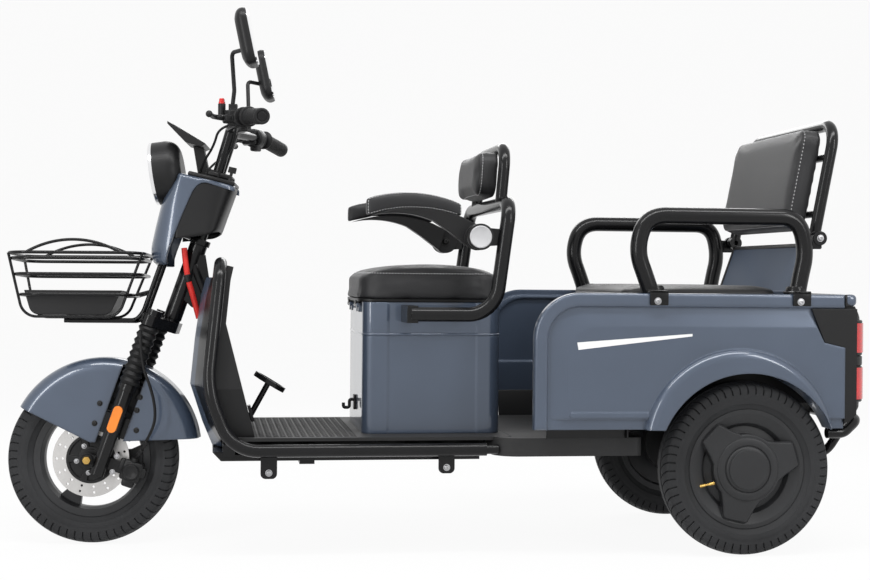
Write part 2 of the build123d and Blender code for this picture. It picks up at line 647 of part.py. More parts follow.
save("rear_axle", Compound(children=springs))


def tyre(width, radius, bead):
    """Tyre ring about the Y axis with a rounded crown."""
    half = width / 2
    shoulder = radius - tyre_shoulder
    face = make_face([
        Line((bead, -half + 12), (bead, half - 12)),
        Line((bead, half - 12), (bead + 14, half - 3)),
        ThreePointArc((bead + 14, half - 3), (bead + 34, half), (shoulder - 6, half - 2)),
        Line((shoulder - 6, half - 2), (shoulder, half - 7)),
        ThreePointArc((shoulder, half - 7), (radius, 0), (shoulder, -half + 7)),
        Line((shoulder, -half + 7), (shoulder - 6, -half + 2)),
        ThreePointArc((shoulder - 6, -half + 2), (bead + 34, -half), (bead + 14, -half + 3)),
        Line((bead + 14, -half + 3), (bead, -half + 12)),
    ])
    return revolve(face, Axis.Y)


rear_tyre = tyre(tyre_width, tyre_radius, rim_radius)
pin_bore = axle_pin_radius + bearing_gap
wheel_face = make_face(Polyline((pin_bore, -34), (pin_bore, 20), (rim_radius - 77, 14),
                                (rim_radius - 41, 8), (rim_radius - 33, 20), (rim_radius - 10, 30),
                                (rim_radius, 30), (rim_radius, -28), (rim_radius - 15, -28),
                                (rim_radius - 19, -16), (rim_radius - 81, -10), (18, -34), close=True))
rear_rim = revolve(wheel_face, Axis.Y)
root = 0.355 * rim_radius
waist = 0.624 * rim_radius
tip = rim_radius - 16
wing = outline([(root, -0.4 * rim_radius), (waist, -0.284 * rim_radius), (tip, -0.206 * rim_radius),
                (tip, 0.206 * rim_radius), (waist, 0.284 * rim_radius), (root, 0.4 * rim_radius)],
               [0, 13, 9, 9, 13, 0])
wings = Circle(0.589 * rim_radius)
for turn_angle in (0, 120, 240):
    wings += Rot(0, 0, wing_angle + turn_angle) * wing
cover = side_prism(wings, 10, 36)
cover = chamfer(cover.faces().sort_by(Axis.Y)[-1].edges(), 3)
cover += across(0, 0, 30, 44, rim_radius / 3)
cover -= across(0, 0, 0, 34, pin_bore)
rear_rim += cover
for name, s in sides:
    place = Pos(rear_axle_x, s * rear_track_half, tyre_radius)
    flip = Rot(0, 0, 0 if s > 0 else 180)
    save(f"rear_tyre_{name}", rear_tyre, place)
    save(f"rear_wheel_{name}", rear_rim, place * flip)

# Front wheel: tyre, three-spoke rim and drilled disc.
axle_local = fork_frame.inverse() * Pos(front_axle_x, 0, tyre_radius)
axle_x = axle_local.position.X
axle_z = axle_local.position.Z
slider_bottom = axle_z - slider_foot
front_place = turn * Pos(front_axle_x, 0, tyre_radius)
save("front_tyre", tyre(tyre_width, tyre_radius, rim_radius), front_place)
hub_face = make_face(Polyline((pin_bore, -38), (pin_bore, 38), (32, 38), (32, -38), close=True))
rim_face = make_face(Polyline((rim_radius - 17, -30), (rim_radius - 23, -12), (rim_radius - 23, 12),
                              (rim_radius - 17, 30), (rim_radius, 30), (rim_radius, -30), close=True))
front_rim = revolve(hub_face, Axis.Y) + revolve(rim_face, Axis.Y)
spoke_tip = rim_radius - 19
spoke = Polygon((20, -20), (spoke_tip - 32, -17), (spoke_tip, -30), (spoke_tip, 30), (spoke_tip - 32, 17),
                (20, 20), align=None)
spokes = spoke + Rot(0, 0, 120) * spoke + Rot(0, 0, 240) * spoke
front_rim += side_prism(Rot(0, 0, spoke_angle) * spokes, -9, 9) - across(0, 0, -40, 40, pin_bore)
save("front_rim", front_rim, front_place)
disc_outer = 0.652 * rim_radius
disc_inner = 0.418 * rim_radius
disc_plate = Circle(disc_outer) - Circle(disc_inner)
disc_plate += Circle(32) - Circle(18)
for k in range(5):
    disc_plate += Rot(0, 0, 72 * k) * Pos((32 + disc_inner) / 2, 0) * Rectangle(disc_inner - 23, 20)
disc_plate -= PolarLocations(disc_outer - 10, 15) * Circle(3)
disc_plate -= PolarLocations(disc_inner + 9, 15) * Circle(3)
disc = side_prism(disc_plate, disc_y, disc_y + disc_thick)
save("brake_disc", disc, front_place)

# Fork: crown with steerer and stanchions, bellows, sliders with axle lugs, axle, reflectors.
fork_place = fork_frame * Rot(0, 0, steer_rest)
crown_bottom = crown_top - crown_thickness
crown_plan = outline([(-24, 40), (leg_offset - 8, leg_half_track + 24),
                      (leg_offset + 22, leg_half_track + 24), (leg_offset + 22, -leg_half_track - 24),
                      (leg_offset - 8, -leg_half_track - 24), (-24, -40)], [20, 14, 18, 18, 14, 20])
crown = extrude(Pos(0, 0, crown_bottom) * crown_plan, amount=crown_thickness)
crown += bar((0, 0, crown_bottom), (0, 0, 290), steerer_radius)
for s in (1, -1):
    crown += Pos(leg_offset, s * leg_half_track, crown_top) * extrude(Circle(19), amount=14)
    crown += bar((leg_offset, s * leg_half_track, crown_bottom),
                 (leg_offset, s * leg_half_track, gaiter_bottom - 40), stanchion_radius)
crown += Pos(0, 0, head_top + bearing_gap) * extrude(Circle(26), amount=14)
crown += Pos(0, 0, crown_top) * extrude(Circle(20), amount=head_bottom - bearing_gap - crown_top)
bracket_y = fairing_half_width - fairing_wall
crown += block(14, 46, -bracket_y, bracket_y, head_top + 4, head_top + 9)
crown += block(-16, 40, -34, 34, 270, 292)
save("fork_crown", crown, fork_place)
pitch = (crown_bottom - gaiter_bottom) / gaiter_ribs
bellows = [(stanchion_radius + bearing_gap, gaiter_bottom)]
for rib in range(gaiter_ribs):
    base = gaiter_bottom + rib * pitch
    bellows += [(gaiter_radius - 5, base), (gaiter_radius, base + pitch / 2)]
bellows += [(gaiter_radius - 5, crown_bottom), (stanchion_radius + bearing_gap, crown_bottom)]
gaiter = revolve(Plane.XZ * make_face(Polyline(*bellows, close=True)), Axis.Z)
gaiters = [Pos(leg_offset, s * leg_half_track, 0) * gaiter for s in (1, -1)]
save("fork_gaiters", Compound(children=gaiters), fork_place)
sliders = []
for s in (1, -1):
    slider = Pos(leg_offset, s * leg_half_track, slider_bottom) * extrude(
        Circle(slider_radius), amount=gaiter_bottom - slider_bottom)
    slider += Pos(leg_offset, s * leg_half_track, gaiter_bottom - 16) * extrude(Circle(slider_radius + 3),
                                                                                amount=16)
    slider -= Pos(leg_offset, s * leg_half_track,
                  gaiter_bottom - 41) * extrude(Circle(stanchion_radius + bearing_gap), amount=50)
    lug = across(axle_x, axle_z, s * (leg_half_track - 15), s * (leg_half_track + 11), 17)
    lug += block(leg_offset, axle_x, min(s * (leg_half_track - 15), s * (leg_half_track + 11)),
                 max(s * (leg_half_track - 15), s * (leg_half_track + 11)), axle_z - 15, axle_z + 15)
    lug -= across(axle_x, axle_z, s * 50, s * 100, axle_pin_radius)
    tab = block(leg_offset - 46, leg_offset + 46, min(s * 53, s * 58), max(s * 53, s * 58), -395, -345)
    if s > 0:
        tab += block(-18, leg_offset, leg_half_track - 19, leg_half_track - 9, axle_z - 8, axle_z + 20)
    sliders.append(slider + lug + tab)
front_axle = across(axle_x, axle_z, -leg_half_track - 11, leg_half_track + 11, axle_pin_radius)
for s in (1, -1):
    front_axle += across(axle_x, axle_z, s * (leg_half_track + 11), s * (leg_half_track + 21), 13)
    front_axle += across(axle_x, axle_z, s * 39, s * (leg_half_track - 15), 12)
save("front_axle", front_axle, fork_place)
save("fork_sliders", Compound(children=[slider - front_axle for slider in sliders]), fork_place)
reflectors = []
for s in (1, -1):
    lens = Pos(leg_offset, 0, -352) * side_prism(SlotOverall(66, 22, rotation=90), leg_half_track,
                                                 leg_half_track + slider_radius + 6)
    if s < 0:
        lens = mirror(lens, Plane.XZ)
    reflectors.append(lens - Pos(leg_offset, s * leg_half_track,
                                 slider_bottom) * extrude(Circle(slider_radius), amount=240))
save("fork_reflectors", Compound(children=reflectors), fork_place)

# Front fender: crown sheet with flat flanks and a gap for each fork leg.
fender_disc = Pos(fender_x, fender_z) * Circle(fender_radius)
inner_disc = Pos(fender_x, fender_z) * Circle(fender_radius - fender_sheet)
fender_cut = Polygon((fender_x + 190, fender_z + 105), (front_axle_x - 1, tyre_radius + 40),
                     (fender_x - 245, tyre_radius + 50), (fender_x - 245, -100), (fender_x + 315, -100),
                     (fender_x + 315, fender_z + 159), align=None)
fender = side_prism(fender_disc - fender_cut, -fender_half_width, fender_half_width)
fender = fillet(fender.edges().filter_by(GeomType.CIRCLE), fender_round)
hollow = side_prism(inner_disc - fender_cut, -fender_half_width + fender_sheet,
                    fender_half_width - fender_sheet)
hollow = fillet(hollow.edges().filter_by(GeomType.CIRCLE), fender_round - fender_sheet)
fender -= hollow + side_prism(fender_cut, -100, 100)
leg_gap = outline([(leg_offset - 31, -150), (leg_offset + 31, -150), (leg_offset + 31, -520),
                   (leg_offset - 31, -520)], [14, 14, 0, 0])
fender -= pair(fork_frame * side_prism(leg_gap, fender_half_width - fender_sheet - 8, 120))
save("front_fender", fender, turn)

# Brake caliper and its hose.
caliper = fork_frame * block(-62, -18, 34, 66, axle_z - 16, axle_z + 28)
caliper -= Pos(front_axle_x, 0, tyre_radius) * across(0, 0, disc_y - 2, disc_y + disc_thick + 2,
                                                      disc_outer + 3)
caliper += fork_frame * block(-46, -30, 48, 64, axle_z + 28, axle_z + 38)
save("brake_caliper", caliper, turn)

hose = bent([(688, leg_half_track + 30, 516), (687, leg_half_track + 31, 440),
             (658, leg_half_track + 33, 372), (648, leg_half_track + 31, 310),
             (664, leg_half_track + 20, 264), (706, 55, 201)], [70, 70, 60, 40], 3.5)
save("brake_hose", hose - caliper, turn)

# Headlight on its bracket, lens.
lamp_place = turn * Pos(lamp_x, 0, lamp_z) * Rot(0, 90 + lamp_tilt, 0)
lamp_body = extrude(Circle(lamp_radius), amount=-lamp_depth)
lamp_body = fillet(lamp_body.edges().sort_by(Axis.Z)[0], 34)
lamp_body -= Pos(0, 0, -16) * extrude(Circle(lamp_radius - 8), amount=20)
save("headlight", lamp_body, lamp_place)
lens = Pos(0, 0, -16) * extrude(Circle(lamp_radius - 8), amount=14)
save("headlight_lens", lens, lamp_place)

# Fairing: painted nose shell and black rear cover, hollow and open underneath.
half = fairing_half_width
plan = Polygon((466, 46), (486, 62), (530, half), (612, half), (648, 62), (690, 44), (690, -44),
               (648, -62), (612, -half), (530, -half), (486, -62), (466, -46), align=None)
half = fairing_half_width - fairing_wall
plan_core = Polygon((466, 42), (488, 59), (531, half), (611, half), (646, 58), (690, 40), (690, -40),
                    (646, -58), (611, -half), (531, -half), (488, -59), (466, -42), align=None)
tower = plan_prism(plan, 600, 1000)
tower_core = plan_prism(plan_core, 590, 1010)
nose_side = outline([(600, 897), (640, 862), (658, 820), (680, 720), (672, 677), (641, 674), (582, 825),
                     (540, 880)], [12, 16, 30, 20, 8, 0, 0, 0])
nose_core = outline([(598, 892), (636, 859), (654, 819), (676, 720), (668, 670), (630, 660), (575, 822),
                     (520, 880)], [10, 13, 27, 18, 6, 0, 0, 0])
nose = side_prism(nose_side, -100, 100) & tower
nose -= side_prism(nose_core, -100, 100) & tower_core
lamp_seat = Pos(lamp_x, 0, lamp_z) * Rot(0, 90 + lamp_tilt, 0) * Pos(0, 0, -lamp_depth - bearing_gap)
nose -= lamp_seat * extrude(Circle(lamp_radius + bearing_gap), amount=lamp_depth + 20)
save("fairing_shell", nose, turn)
cover_side = outline([(538, 880), (476, 870), (473, 856), (508, 764), (530, 748), (609, 740), (580, 826)],
                     [0, 6, 8, 20, 14, 0, 0])
cover_core = outline([(545, 875), (482, 864), (479, 854), (513, 767), (531, 700), (625, 700), (590, 830)],
                     [0, 4, 5, 16, 10, 0, 0])
lid_side = Polygon((592, 908), (474, 880), (474, 871), (538, 880.5), (592, 899), align=None)
hood = side_prism(cover_side, -100, 100) & tower
hood -= side_prism(cover_core, -100, 100) & tower_core
hood += side_prism(lid_side, -58, 58) & tower
hood -= turn.inverse() * fork_place * Pos(0, 0, 100) * extrude(Circle(30), amount=200)
hood -= fork_frame * block(-20, 64, -38, 38, 262, 310)
hood -= lamp_seat * extrude(Circle(lamp_radius + bearing_gap), amount=lamp_depth + 20)
save("fairing_cover", hood, turn)

# Handlebar, grips, controls, mirrors and display.
grip_start = (430, 205, 1016)
grip_end = (386, 320, 1001)
bend = (485, 60, 1010)


def mirrored(point):
    """The same point on the other side."""
    return (point[0], -point[1], point[2])


bar_points = [grip_end, grip_start, bend, mirrored(bend), mirrored(grip_start), mirrored(grip_end)]
handlebar = bent(bar_points, [60, 60, 60, 60], bar_radius)
riser_foot = fork_point(12, 0, 288)
for s in (1, -1):
    handlebar += bar((riser_foot.X, s * 20, riser_foot.Z), (bend[0], s * 32, bend[2]), 13)
handlebar -= fork_frame * block(-16, 40, -34, 34, 240, 292)
save("handlebar", handlebar, turn)
line = Line(grip_start, grip_end)
sleeve = Circle(grip_radius) - Circle(bar_radius)
grip = sweep(Plane(line @ 0.1, z_dir=line % 0) * sleeve, Line(line @ 0.1, line @ 1))
save("grips", Compound(children=[grip, mirror(grip, Plane.XZ)]), turn)
pod_y = 172
pod = fillet(block(440, 478, pod_y - 20, pod_y + 20, 996, 1036).edges(), 6)
pod += block(456, 476, pod_y - 4, pod_y + 16, 1030, 1048)
pod += bent([(470, pod_y, 1013), (510, pod_y + 28, 1016), (508, 300, 1008)], [16], 6)
pod += Pos(508, 300, 1008) * Sphere(8)
pod -= bar(bend, grip_start, bar_radius)
button = Pos(494, pod_y - 6, 1038) * Cylinder(9, 26) + block(470, 494, pod_y - 12, pod_y, 1026, 1036)
save("controls", Compound(children=[pod + button, mirror(pod, Plane.XZ)]), turn)
mirror_x = 424
mirror_y = 262
mirror_z = 1190
mirror_lean = 12
stalk = bent([(467, pod_y + 8, 1048), (463, pod_y + 14, 1080), (468, pod_y + 32, 1166),
              (mirror_x + 12, mirror_y - 16, 1166)], [30, 14], 5)
head_place = Pos(mirror_x, mirror_y, mirror_z) * Rot(0, mirror_lean, 0)
rings = [Pos(depth, 0, 0) * (Plane.YZ * RectangleRounded(104 - 2 * inset, 134 - 2 * inset,
                                                         30 - inset / 2)) for depth,
         inset in ((-8, 2), (4, 0), (22, 20))]
head = stalk - pod + head_place * loft(rings)
save("mirrors", Compound(children=[head, mirror(head, Plane.XZ)]), turn)
glass = head_place * Pos(-11, 0, 0) * extrude(Plane.YZ * RectangleRounded(92, 122, 26), amount=3)
save("mirror_glass", Compound(children=[glass, mirror(glass, Plane.XZ)]), turn)
dash_side = Polygon((60, 344), (166, 366), (164, 360), (108, 332), (70, 334), align=None)
dash = side_prism(dash_side, -55, 55)
dash += side_prism(Polygon((40, 270), (40, 292), (70, 342), (98, 342), (58, 270), align=None), -16, 16)
save("display", dash, fork_place)

# Basket: wire loops, uprights and tray, on a bracket from the fork crown.
rows = (  # height, rear, front, half width
    (basket_rim_z, basket_rear_x, basket_front_x, basket_half_width),
    (basket_rim_z - 13, basket_rear_x + 4, basket_front_x - 5, basket_half_width - 3),
    (650, 693, 1000, basket_half_width - 10),
    (601, 714, 989, basket_half_width - 18),
)
basket = None
for height, rear, front, half in rows:
    middle = (rear + front) / 2
    for end in (rear, front):
        ring = bent([(middle, half, height), (end, half, height), (end, -half, height),
                     (middle, -half, height)], [50, 50], basket_wire)
        basket = ring if basket is None else basket + ring
wire_y = basket_half_width - 26
foot_y = wire_y - 16
crown_z = basket_rim_z + 30
for s in (1, -1):
    basket += bent([(basket_front_x - 2, s * wire_y, basket_rim_z), (976, s * foot_y, 548),
                    (748, s * foot_y, 548), (basket_rear_x + 2, s * wire_y, basket_rim_z)], [40, 40],
                   basket_wire - 0.6)
    side_y = s * basket_half_width
    crown_line = ThreePointArc((basket_front_x - 50, side_y, basket_rim_z), (830, side_y, crown_z),
                               (basket_rear_x + 50, side_y, basket_rim_z))
    basket += sweep(Plane(crown_line @ 0, z_dir=crown_line % 0) * Circle(basket_wire - 0.4), crown_line)
for cross_x in (800, 870, 940):
    basket += bar((cross_x, -foot_y, 549), (cross_x, foot_y, 549), basket_wire - 1)
save("basket", basket, turn)
tray_y = foot_y - basket_wire - 2
tray_box = side_prism(outline([(742, 612), (770, 552.3), (958, 552.3), (976, 612)], [0, 26, 26, 0]),
                      -tray_y, tray_y)
tray_box -= side_prism(outline([(746, 616), (774, 556), (954, 556), (972, 616)], [0, 22, 22, 0]),
                       -tray_y + 4, tray_y - 4)
save("basket_tray", tray_box, turn)
stay_x = leg_offset + 22 + 10
holder = fork_frame * block(leg_offset + 22, stay_x, -36, 36, crown_bottom + 4, crown_top - 4)
for s in (1, -1):
    top = fork_point(stay_x, s * 30, 44)
    low = fork_point(stay_x, s * 30, crown_bottom + 16)
    holder += bent([(top.X, s * 30, top.Z), (low.X, s * 30, low.Z), (low.X + 18, s * 30, 539.8),
                    (884, s * 30, 539.8)], [60, 30], 6)
    holder += bar((677, s * 30, 611), (711, s * 30, 602), 4)
save("basket_bracket", holder - basket, turn)

# Wiring sleeve from the head tube down to the leg shield.
save("wire_harness", harness)
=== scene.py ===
import json
from math import cos, exp, pi, radians, sin

import bmesh
import bpy
from mathutils import Matrix, Vector
from mathutils.bvhtree import BVHTree


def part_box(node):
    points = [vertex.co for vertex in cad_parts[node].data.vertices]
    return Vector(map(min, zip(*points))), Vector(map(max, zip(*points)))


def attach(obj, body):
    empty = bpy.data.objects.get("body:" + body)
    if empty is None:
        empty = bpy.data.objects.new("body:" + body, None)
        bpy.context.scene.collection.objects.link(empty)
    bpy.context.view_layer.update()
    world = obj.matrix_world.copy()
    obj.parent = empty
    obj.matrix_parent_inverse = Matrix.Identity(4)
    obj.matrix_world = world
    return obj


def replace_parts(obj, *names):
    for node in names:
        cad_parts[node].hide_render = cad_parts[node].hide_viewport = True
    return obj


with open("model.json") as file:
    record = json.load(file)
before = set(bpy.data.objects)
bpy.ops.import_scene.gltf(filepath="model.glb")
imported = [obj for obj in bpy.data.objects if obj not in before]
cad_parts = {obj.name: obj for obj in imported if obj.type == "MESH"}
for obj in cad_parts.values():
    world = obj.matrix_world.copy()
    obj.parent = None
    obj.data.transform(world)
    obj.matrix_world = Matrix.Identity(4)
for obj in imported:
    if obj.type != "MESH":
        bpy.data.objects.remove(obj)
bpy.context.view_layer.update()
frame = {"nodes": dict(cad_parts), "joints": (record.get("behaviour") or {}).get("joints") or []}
nodes = frame["nodes"]
scene = bpy.context.scene
scene.view_settings.view_transform = "Standard"

# Studio: a pale sheet that runs from the floor up into a backdrop, with one large soft box overhead
# and softer ones beside the camera, which stands on the rider's left, level with the head tube.
camera = bpy.data.objects.new("camera", bpy.data.cameras.new("camera"))
scene.collection.objects.link(camera)
moved = Matrix.Translation


def tilted(degrees, axis):
    """A turn about an axis through the origin."""
    return Matrix.Rotation(radians(degrees), 4, axis)


look = Vector((-0.1459, -0.9893, 0.0))
stand_point = (0.540, 3.818, 0.658)
camera_roll = 0.51
upright = Vector((0.0, 0.0, 1.0))
stand = Matrix((look.cross(upright), upright, -look)).transposed().to_4x4()
camera.matrix_world = moved(stand_point) @ stand @ tilted(camera_roll, "Z")
camera.data.sensor_width = 36.0
camera.data.lens = 63.48
camera.data.shift_y = -15 / 870
scene.camera = camera


def soft_box(name, place, target, width, height, watts):
    """A rectangular lamp that faces a point."""
    lamp = bpy.data.lights.new(name, "AREA")
    lamp.shape = "RECTANGLE"
    lamp.size = width
    lamp.size_y = height
    lamp.energy = watts
    box = bpy.data.objects.new(name, lamp)
    box.location = place
    box.rotation_euler = (Vector(target) - Vector(place)).to_track_quat("-Z", "Y").to_euler()
    scene.collection.objects.link(box)


soft_box("overhead_strip", (0.0, 1.1, 2.8), (0.0, 0.0, 0.4), 3.6, 0.4, 62)
soft_box("front_strip", (2.5, 2.3, 1.4), (0.3, 0.0, 0.5), 0.45, 2.0, 34)
soft_box("side_strip", (-2.3, 2.7, 2.0), (-0.4, 0.0, 0.5), 0.5, 1.8, 34)
soft_box("far_box", (-0.6, -2.6, 2.2), (0.0, 0.0, 0.5), 2.8, 0.8, 30)


def seen_directly(tree):
    """A socket that is 1 for the camera, for gloss and for glass, and 0 for light that falls on things."""
    path = tree.nodes.new("ShaderNodeLightPath")
    first = tree.nodes.new("ShaderNodeMath")
    first.operation = "MAXIMUM"
    second = tree.nodes.new("ShaderNodeMath")
    second.operation = "MAXIMUM"
    tree.links.new(path.outputs["Is Camera Ray"], first.inputs[0])
    tree.links.new(path.outputs["Is Glossy Ray"], first.inputs[1])
    tree.links.new(first.outputs[0], second.inputs[0])
    tree.links.new(path.outputs["Is Transmission Ray"], second.inputs[1])
    return second.outputs[0]


room = bpy.data.worlds.new("room")
room.use_nodes = True
scene.world = room
air = room.node_tree.nodes["Background"]
air.inputs["Color"].default_value = (1.0, 1.0, 1.0, 1.0)
level = room.node_tree.nodes.new("ShaderNodeMapRange")
level.inputs["To Min"].default_value = 0.44
level.inputs["To Max"].default_value = 1.0
room.node_tree.links.new(seen_directly(room.node_tree), level.inputs["Value"])
room.node_tree.links.new(level.outputs[0], air.inputs["Strength"])

sheet_half, sheet_front, sheet_back, sheet_bend, sheet_top = 14.0, 12.0, -8.8, 1.2, 7.0
sheet_line = [(sheet_front, 0.0), (sheet_back, 0.0)]
sheet_line += [(sheet_back - sheet_bend * sin(radians(a)), sheet_bend - sheet_bend * cos(radians(a)))
               for a in range(10, 91, 10)]
sheet_line += [(sheet_back - sheet_bend, sheet_top)]
paper_work = bmesh.new()
sheet_rows = [[paper_work.verts.new((x, y, z)) for x in (-sheet_half, sheet_half)] for y, z in sheet_line]
for low, high in zip(sheet_rows, sheet_rows[1:]):
    paper_work.faces.new((low[0], low[1], high[1], high[0]))
paper_mesh = bpy.data.meshes.new("paper_sheet")
paper_work.to_mesh(paper_mesh)
paper_work.free()
paper_mesh.shade_smooth()
paper_sheet = bpy.data.objects.new("paper_sheet", paper_mesh)
scene.collection.objects.link(paper_sheet)
paper = bpy.data.materials.new("studio_paper")
paper.use_nodes = True
matt = paper.node_tree.nodes["Principled BSDF"]
matt.inputs["Base Color"].default_value = (0.88, 0.88, 0.88, 1.0)
matt.inputs["Roughness"].default_value = 0.9
glow = paper.node_tree.nodes.new("ShaderNodeEmission")
share = paper.node_tree.nodes.new("ShaderNodeMapRange")
share.inputs["To Max"].default_value = 0.93
both = paper.node_tree.nodes.new("ShaderNodeMixShader")
paper.node_tree.links.new(seen_directly(paper.node_tree), share.inputs["Value"])
paper.node_tree.links.new(share.outputs[0], both.inputs["Fac"])
paper.node_tree.links.new(matt.outputs[0], both.inputs[1])
paper.node_tree.links.new(glow.outputs[0], both.inputs[2])
paper.node_tree.links.new(both.outputs[0], paper.node_tree.nodes["Material Output"].inputs["Surface"])
paper_mesh.materials.append(paper)

# Main frame, footwell hoop and axle: welded steel tube, powder coated gloss black. The coat is
# smooth with a slight orange peel and a little duller where dust settles.


def coat(name, colour, rough, drift=0.15, peel=500.0, depth=0.00004, strength=0.25, edge=0.0, **sockets):
    """A finish that drifts broadly in colour and roughness, with a fine grain and softened edges, in metres."""
    stuff = bpy.data.materials.new(name)
    stuff.use_nodes = True
    tree = stuff.node_tree
    shader = tree.nodes["Principled BSDF"]
    where = tree.nodes.new("ShaderNodeTexCoord")
    broad = tree.nodes.new("ShaderNodeTexNoise")
    broad.inputs["Scale"].default_value = 7.0
    broad.inputs["Detail"].default_value = 5.0
    fine = tree.nodes.new("ShaderNodeTexNoise")
    fine.inputs["Scale"].default_value = peel
    fine.inputs["Detail"].default_value = 3.0
    shade = tree.nodes.new("ShaderNodeValToRGB")
    shade.color_ramp.elements[0].position = 0.3
    shade.color_ramp.elements[1].position = 0.7
    shade.color_ramp.elements[0].color = (*(c * (1 - drift) for c in colour), 1.0)
    shade.color_ramp.elements[1].color = (*(c * (1 + drift) for c in colour), 1.0)
    dull = tree.nodes.new("ShaderNodeMapRange")
    dull.inputs["To Min"].default_value = rough * 0.85
    dull.inputs["To Max"].default_value = rough * 1.15
    bump = tree.nodes.new("ShaderNodeBump")
    bump.inputs["Strength"].default_value = strength
    bump.inputs["Distance"].default_value = depth
    for noise in (broad, fine):
        tree.links.new(where.outputs["Object"], noise.inputs["Vector"])
    tree.links.new(broad.outputs["Fac"], shade.inputs["Fac"])
    tree.links.new(shade.outputs["Color"], shader.inputs["Base Color"])
    tree.links.new(broad.outputs["Fac"], dull.inputs["Value"])
    tree.links.new(dull.outputs[0], shader.inputs["Roughness"])
    tree.links.new(fine.outputs["Fac"], bump.inputs["Height"])
    tree.links.new(bump.outputs["Normal"], shader.inputs["Normal"])
    if edge:
        soft = tree.nodes.new("ShaderNodeBevel")
        soft.samples = 6
        soft.inputs["Radius"].default_value = edge
        tree.links.new(soft.outputs["Normal"], bump.inputs["Normal"])
    for socket, value in sockets.items():
        shader.inputs[socket.replace("_", " ")].default_value = value
    return stuff


def dress(stuff, *names):
    """Gives CAD nodes a finish."""
    for name in names:
        for place in nodes[name].material_slots:
            place.material = stuff


gloss_black = coat("gloss_black_powder", (0.006, 0.006, 0.0065), 0.2, peel=260.0, edge=0.002,
                   Specular_IOR_Level=0.25)
dress(gloss_black, "main_frame", "footwell_hoop", "driver_back_frame", "rear_hoop_left", "rear_hoop_right",
      "rear_back_frame", "rear_bumper", "fork_crown", "fork_sliders", "handlebar", "basket", "basket_bracket",
      "brake_pedal")
chassis_black = coat("chassis_black", (0.007, 0.007, 0.0075), 0.5, drift=0.3, edge=0.003,
                     Specular_IOR_Level=0.2)
dress(chassis_black, "rear_axle", "brake_caliper")


def lathe(work, profile, place, sides=24):
    """Turns (radius, height) rows about local Z into a bmesh. A third value marks a six-sided ring."""
    rings = []
    for radius, height, *six in profile:
        if radius == 0:
            rings.append([work.verts.new(place @ Vector((0.0, 0.0, height)))])
            continue
        ring = []
        for k in range(sides):
            angle = 2 * pi * k / sides
            reach = radius
            if six:
                reach = radius * cos(pi / 6) / cos(angle % (pi / 3) - pi / 6)
            ring.append(work.verts.new(place @ Vector((reach * cos(angle), reach * sin(angle), height))))
        rings.append(ring)
    for low, high in zip(rings, rings[1:]):
        for k in range(sides):
            corners = [low[k % len(low)], low[(k + 1) % len(low)], high[(k + 1) % len(high)],
                       high[k % len(high)]]
            work.faces.new(list(dict.fromkeys(corners)))


def aim(point, direction):
    """Placing of a piece whose local Z axis points along a direction."""
    return moved(point) @ Vector(direction).to_track_quat("Z", "Y").to_matrix().to_4x4()


def piece(name, work, stuff, body, crease=40):
    """Makes an object of a bmesh, with its finish, and rides it on a body."""
    bmesh.ops.recalc_face_normals(work, faces=work.faces)
    mesh = bpy.data.meshes.new(name)
    work.to_mesh(mesh)
    work.free()
    mesh.shade_smooth()
    mesh.set_sharp_from_angle(angle=radians(crease))
    mesh.materials.append(stuff)
    made = bpy.data.objects.new(name, mesh)
    scene.collection.objects.link(made)
    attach(made, body)
    return made


def bolts(name, spots, radius, stuff, body):
    """Button head screws with a hexagon socket and a washer, at (point, direction) spots."""
    work = bmesh.new()
    button = ((1.35, -0.1), (1.35, 0.12), (1.05, 0.14), (0.98, 0.4), (0.78, 0.68), (0.5, 0.76),
              (0.46, 0.74, 1), (0.44, 0.3, 1), (0, 0.3))
    for point, direction in spots:
        lathe(work, [(r * radius, h * radius, *six) for r, h, *six in button], aim(point, direction))
    return piece(name, work, stuff, body)


zinc = coat("zinc_screws", (0.42, 0.42, 0.43), 0.34, drift=0.2, Metallic=1.0)
black_screws = coat("black_screws", (0.02, 0.02, 0.02), 0.4, drift=0.25, Metallic=0.6)

# Floor deck: one black moulded mat with raised oval lugs for grip in front of the seat box.
# It lies loose in the footwell, and the same mat lines the floor of the rear body.
satin_black = coat("satin_black_moulding", (0.009, 0.009, 0.0095), 0.4, peel=1500.0, depth=0.00012,
                   strength=0.3, edge=0.003, Specular_IOR_Level=0.25)
mat_black = coat("floor_mat", (0.025, 0.025, 0.0255), 0.6, peel=900.0, depth=0.0002, strength=0.4,
                 Specular_IOR_Level=0.25)
dress(mat_black, "floor_deck", "rear_floor")


def grip_lugs(name, xs, ys, top, slant, stuff, body):
    """Rows of low rounded lugs on a flat mat, turned to and fro by rows."""
    work = bmesh.new()
    for row, x in enumerate(xs):
        for column, y in enumerate(ys):
            lean = slant if (row + column) % 2 else -slant
            spot = moved((x, y, top)) @ tilted(lean, "Z") @ Matrix.Diagonal((1.0, 0.42, 1.0, 1.0))
            lathe(work, ((0.0085, -0.0005), (0.0082, 0.0006), (0.0070, 0.0013), (0, 0.0015)), spot, 12)
    return piece(name, work, stuff, body)


grip_lugs("deck_lugs", [0.200 + 0.0165 * k for k in range(15)], [-0.232 + 0.0145 * k for k in range(33)],
          0.278, 38, mat_black, "chassis")

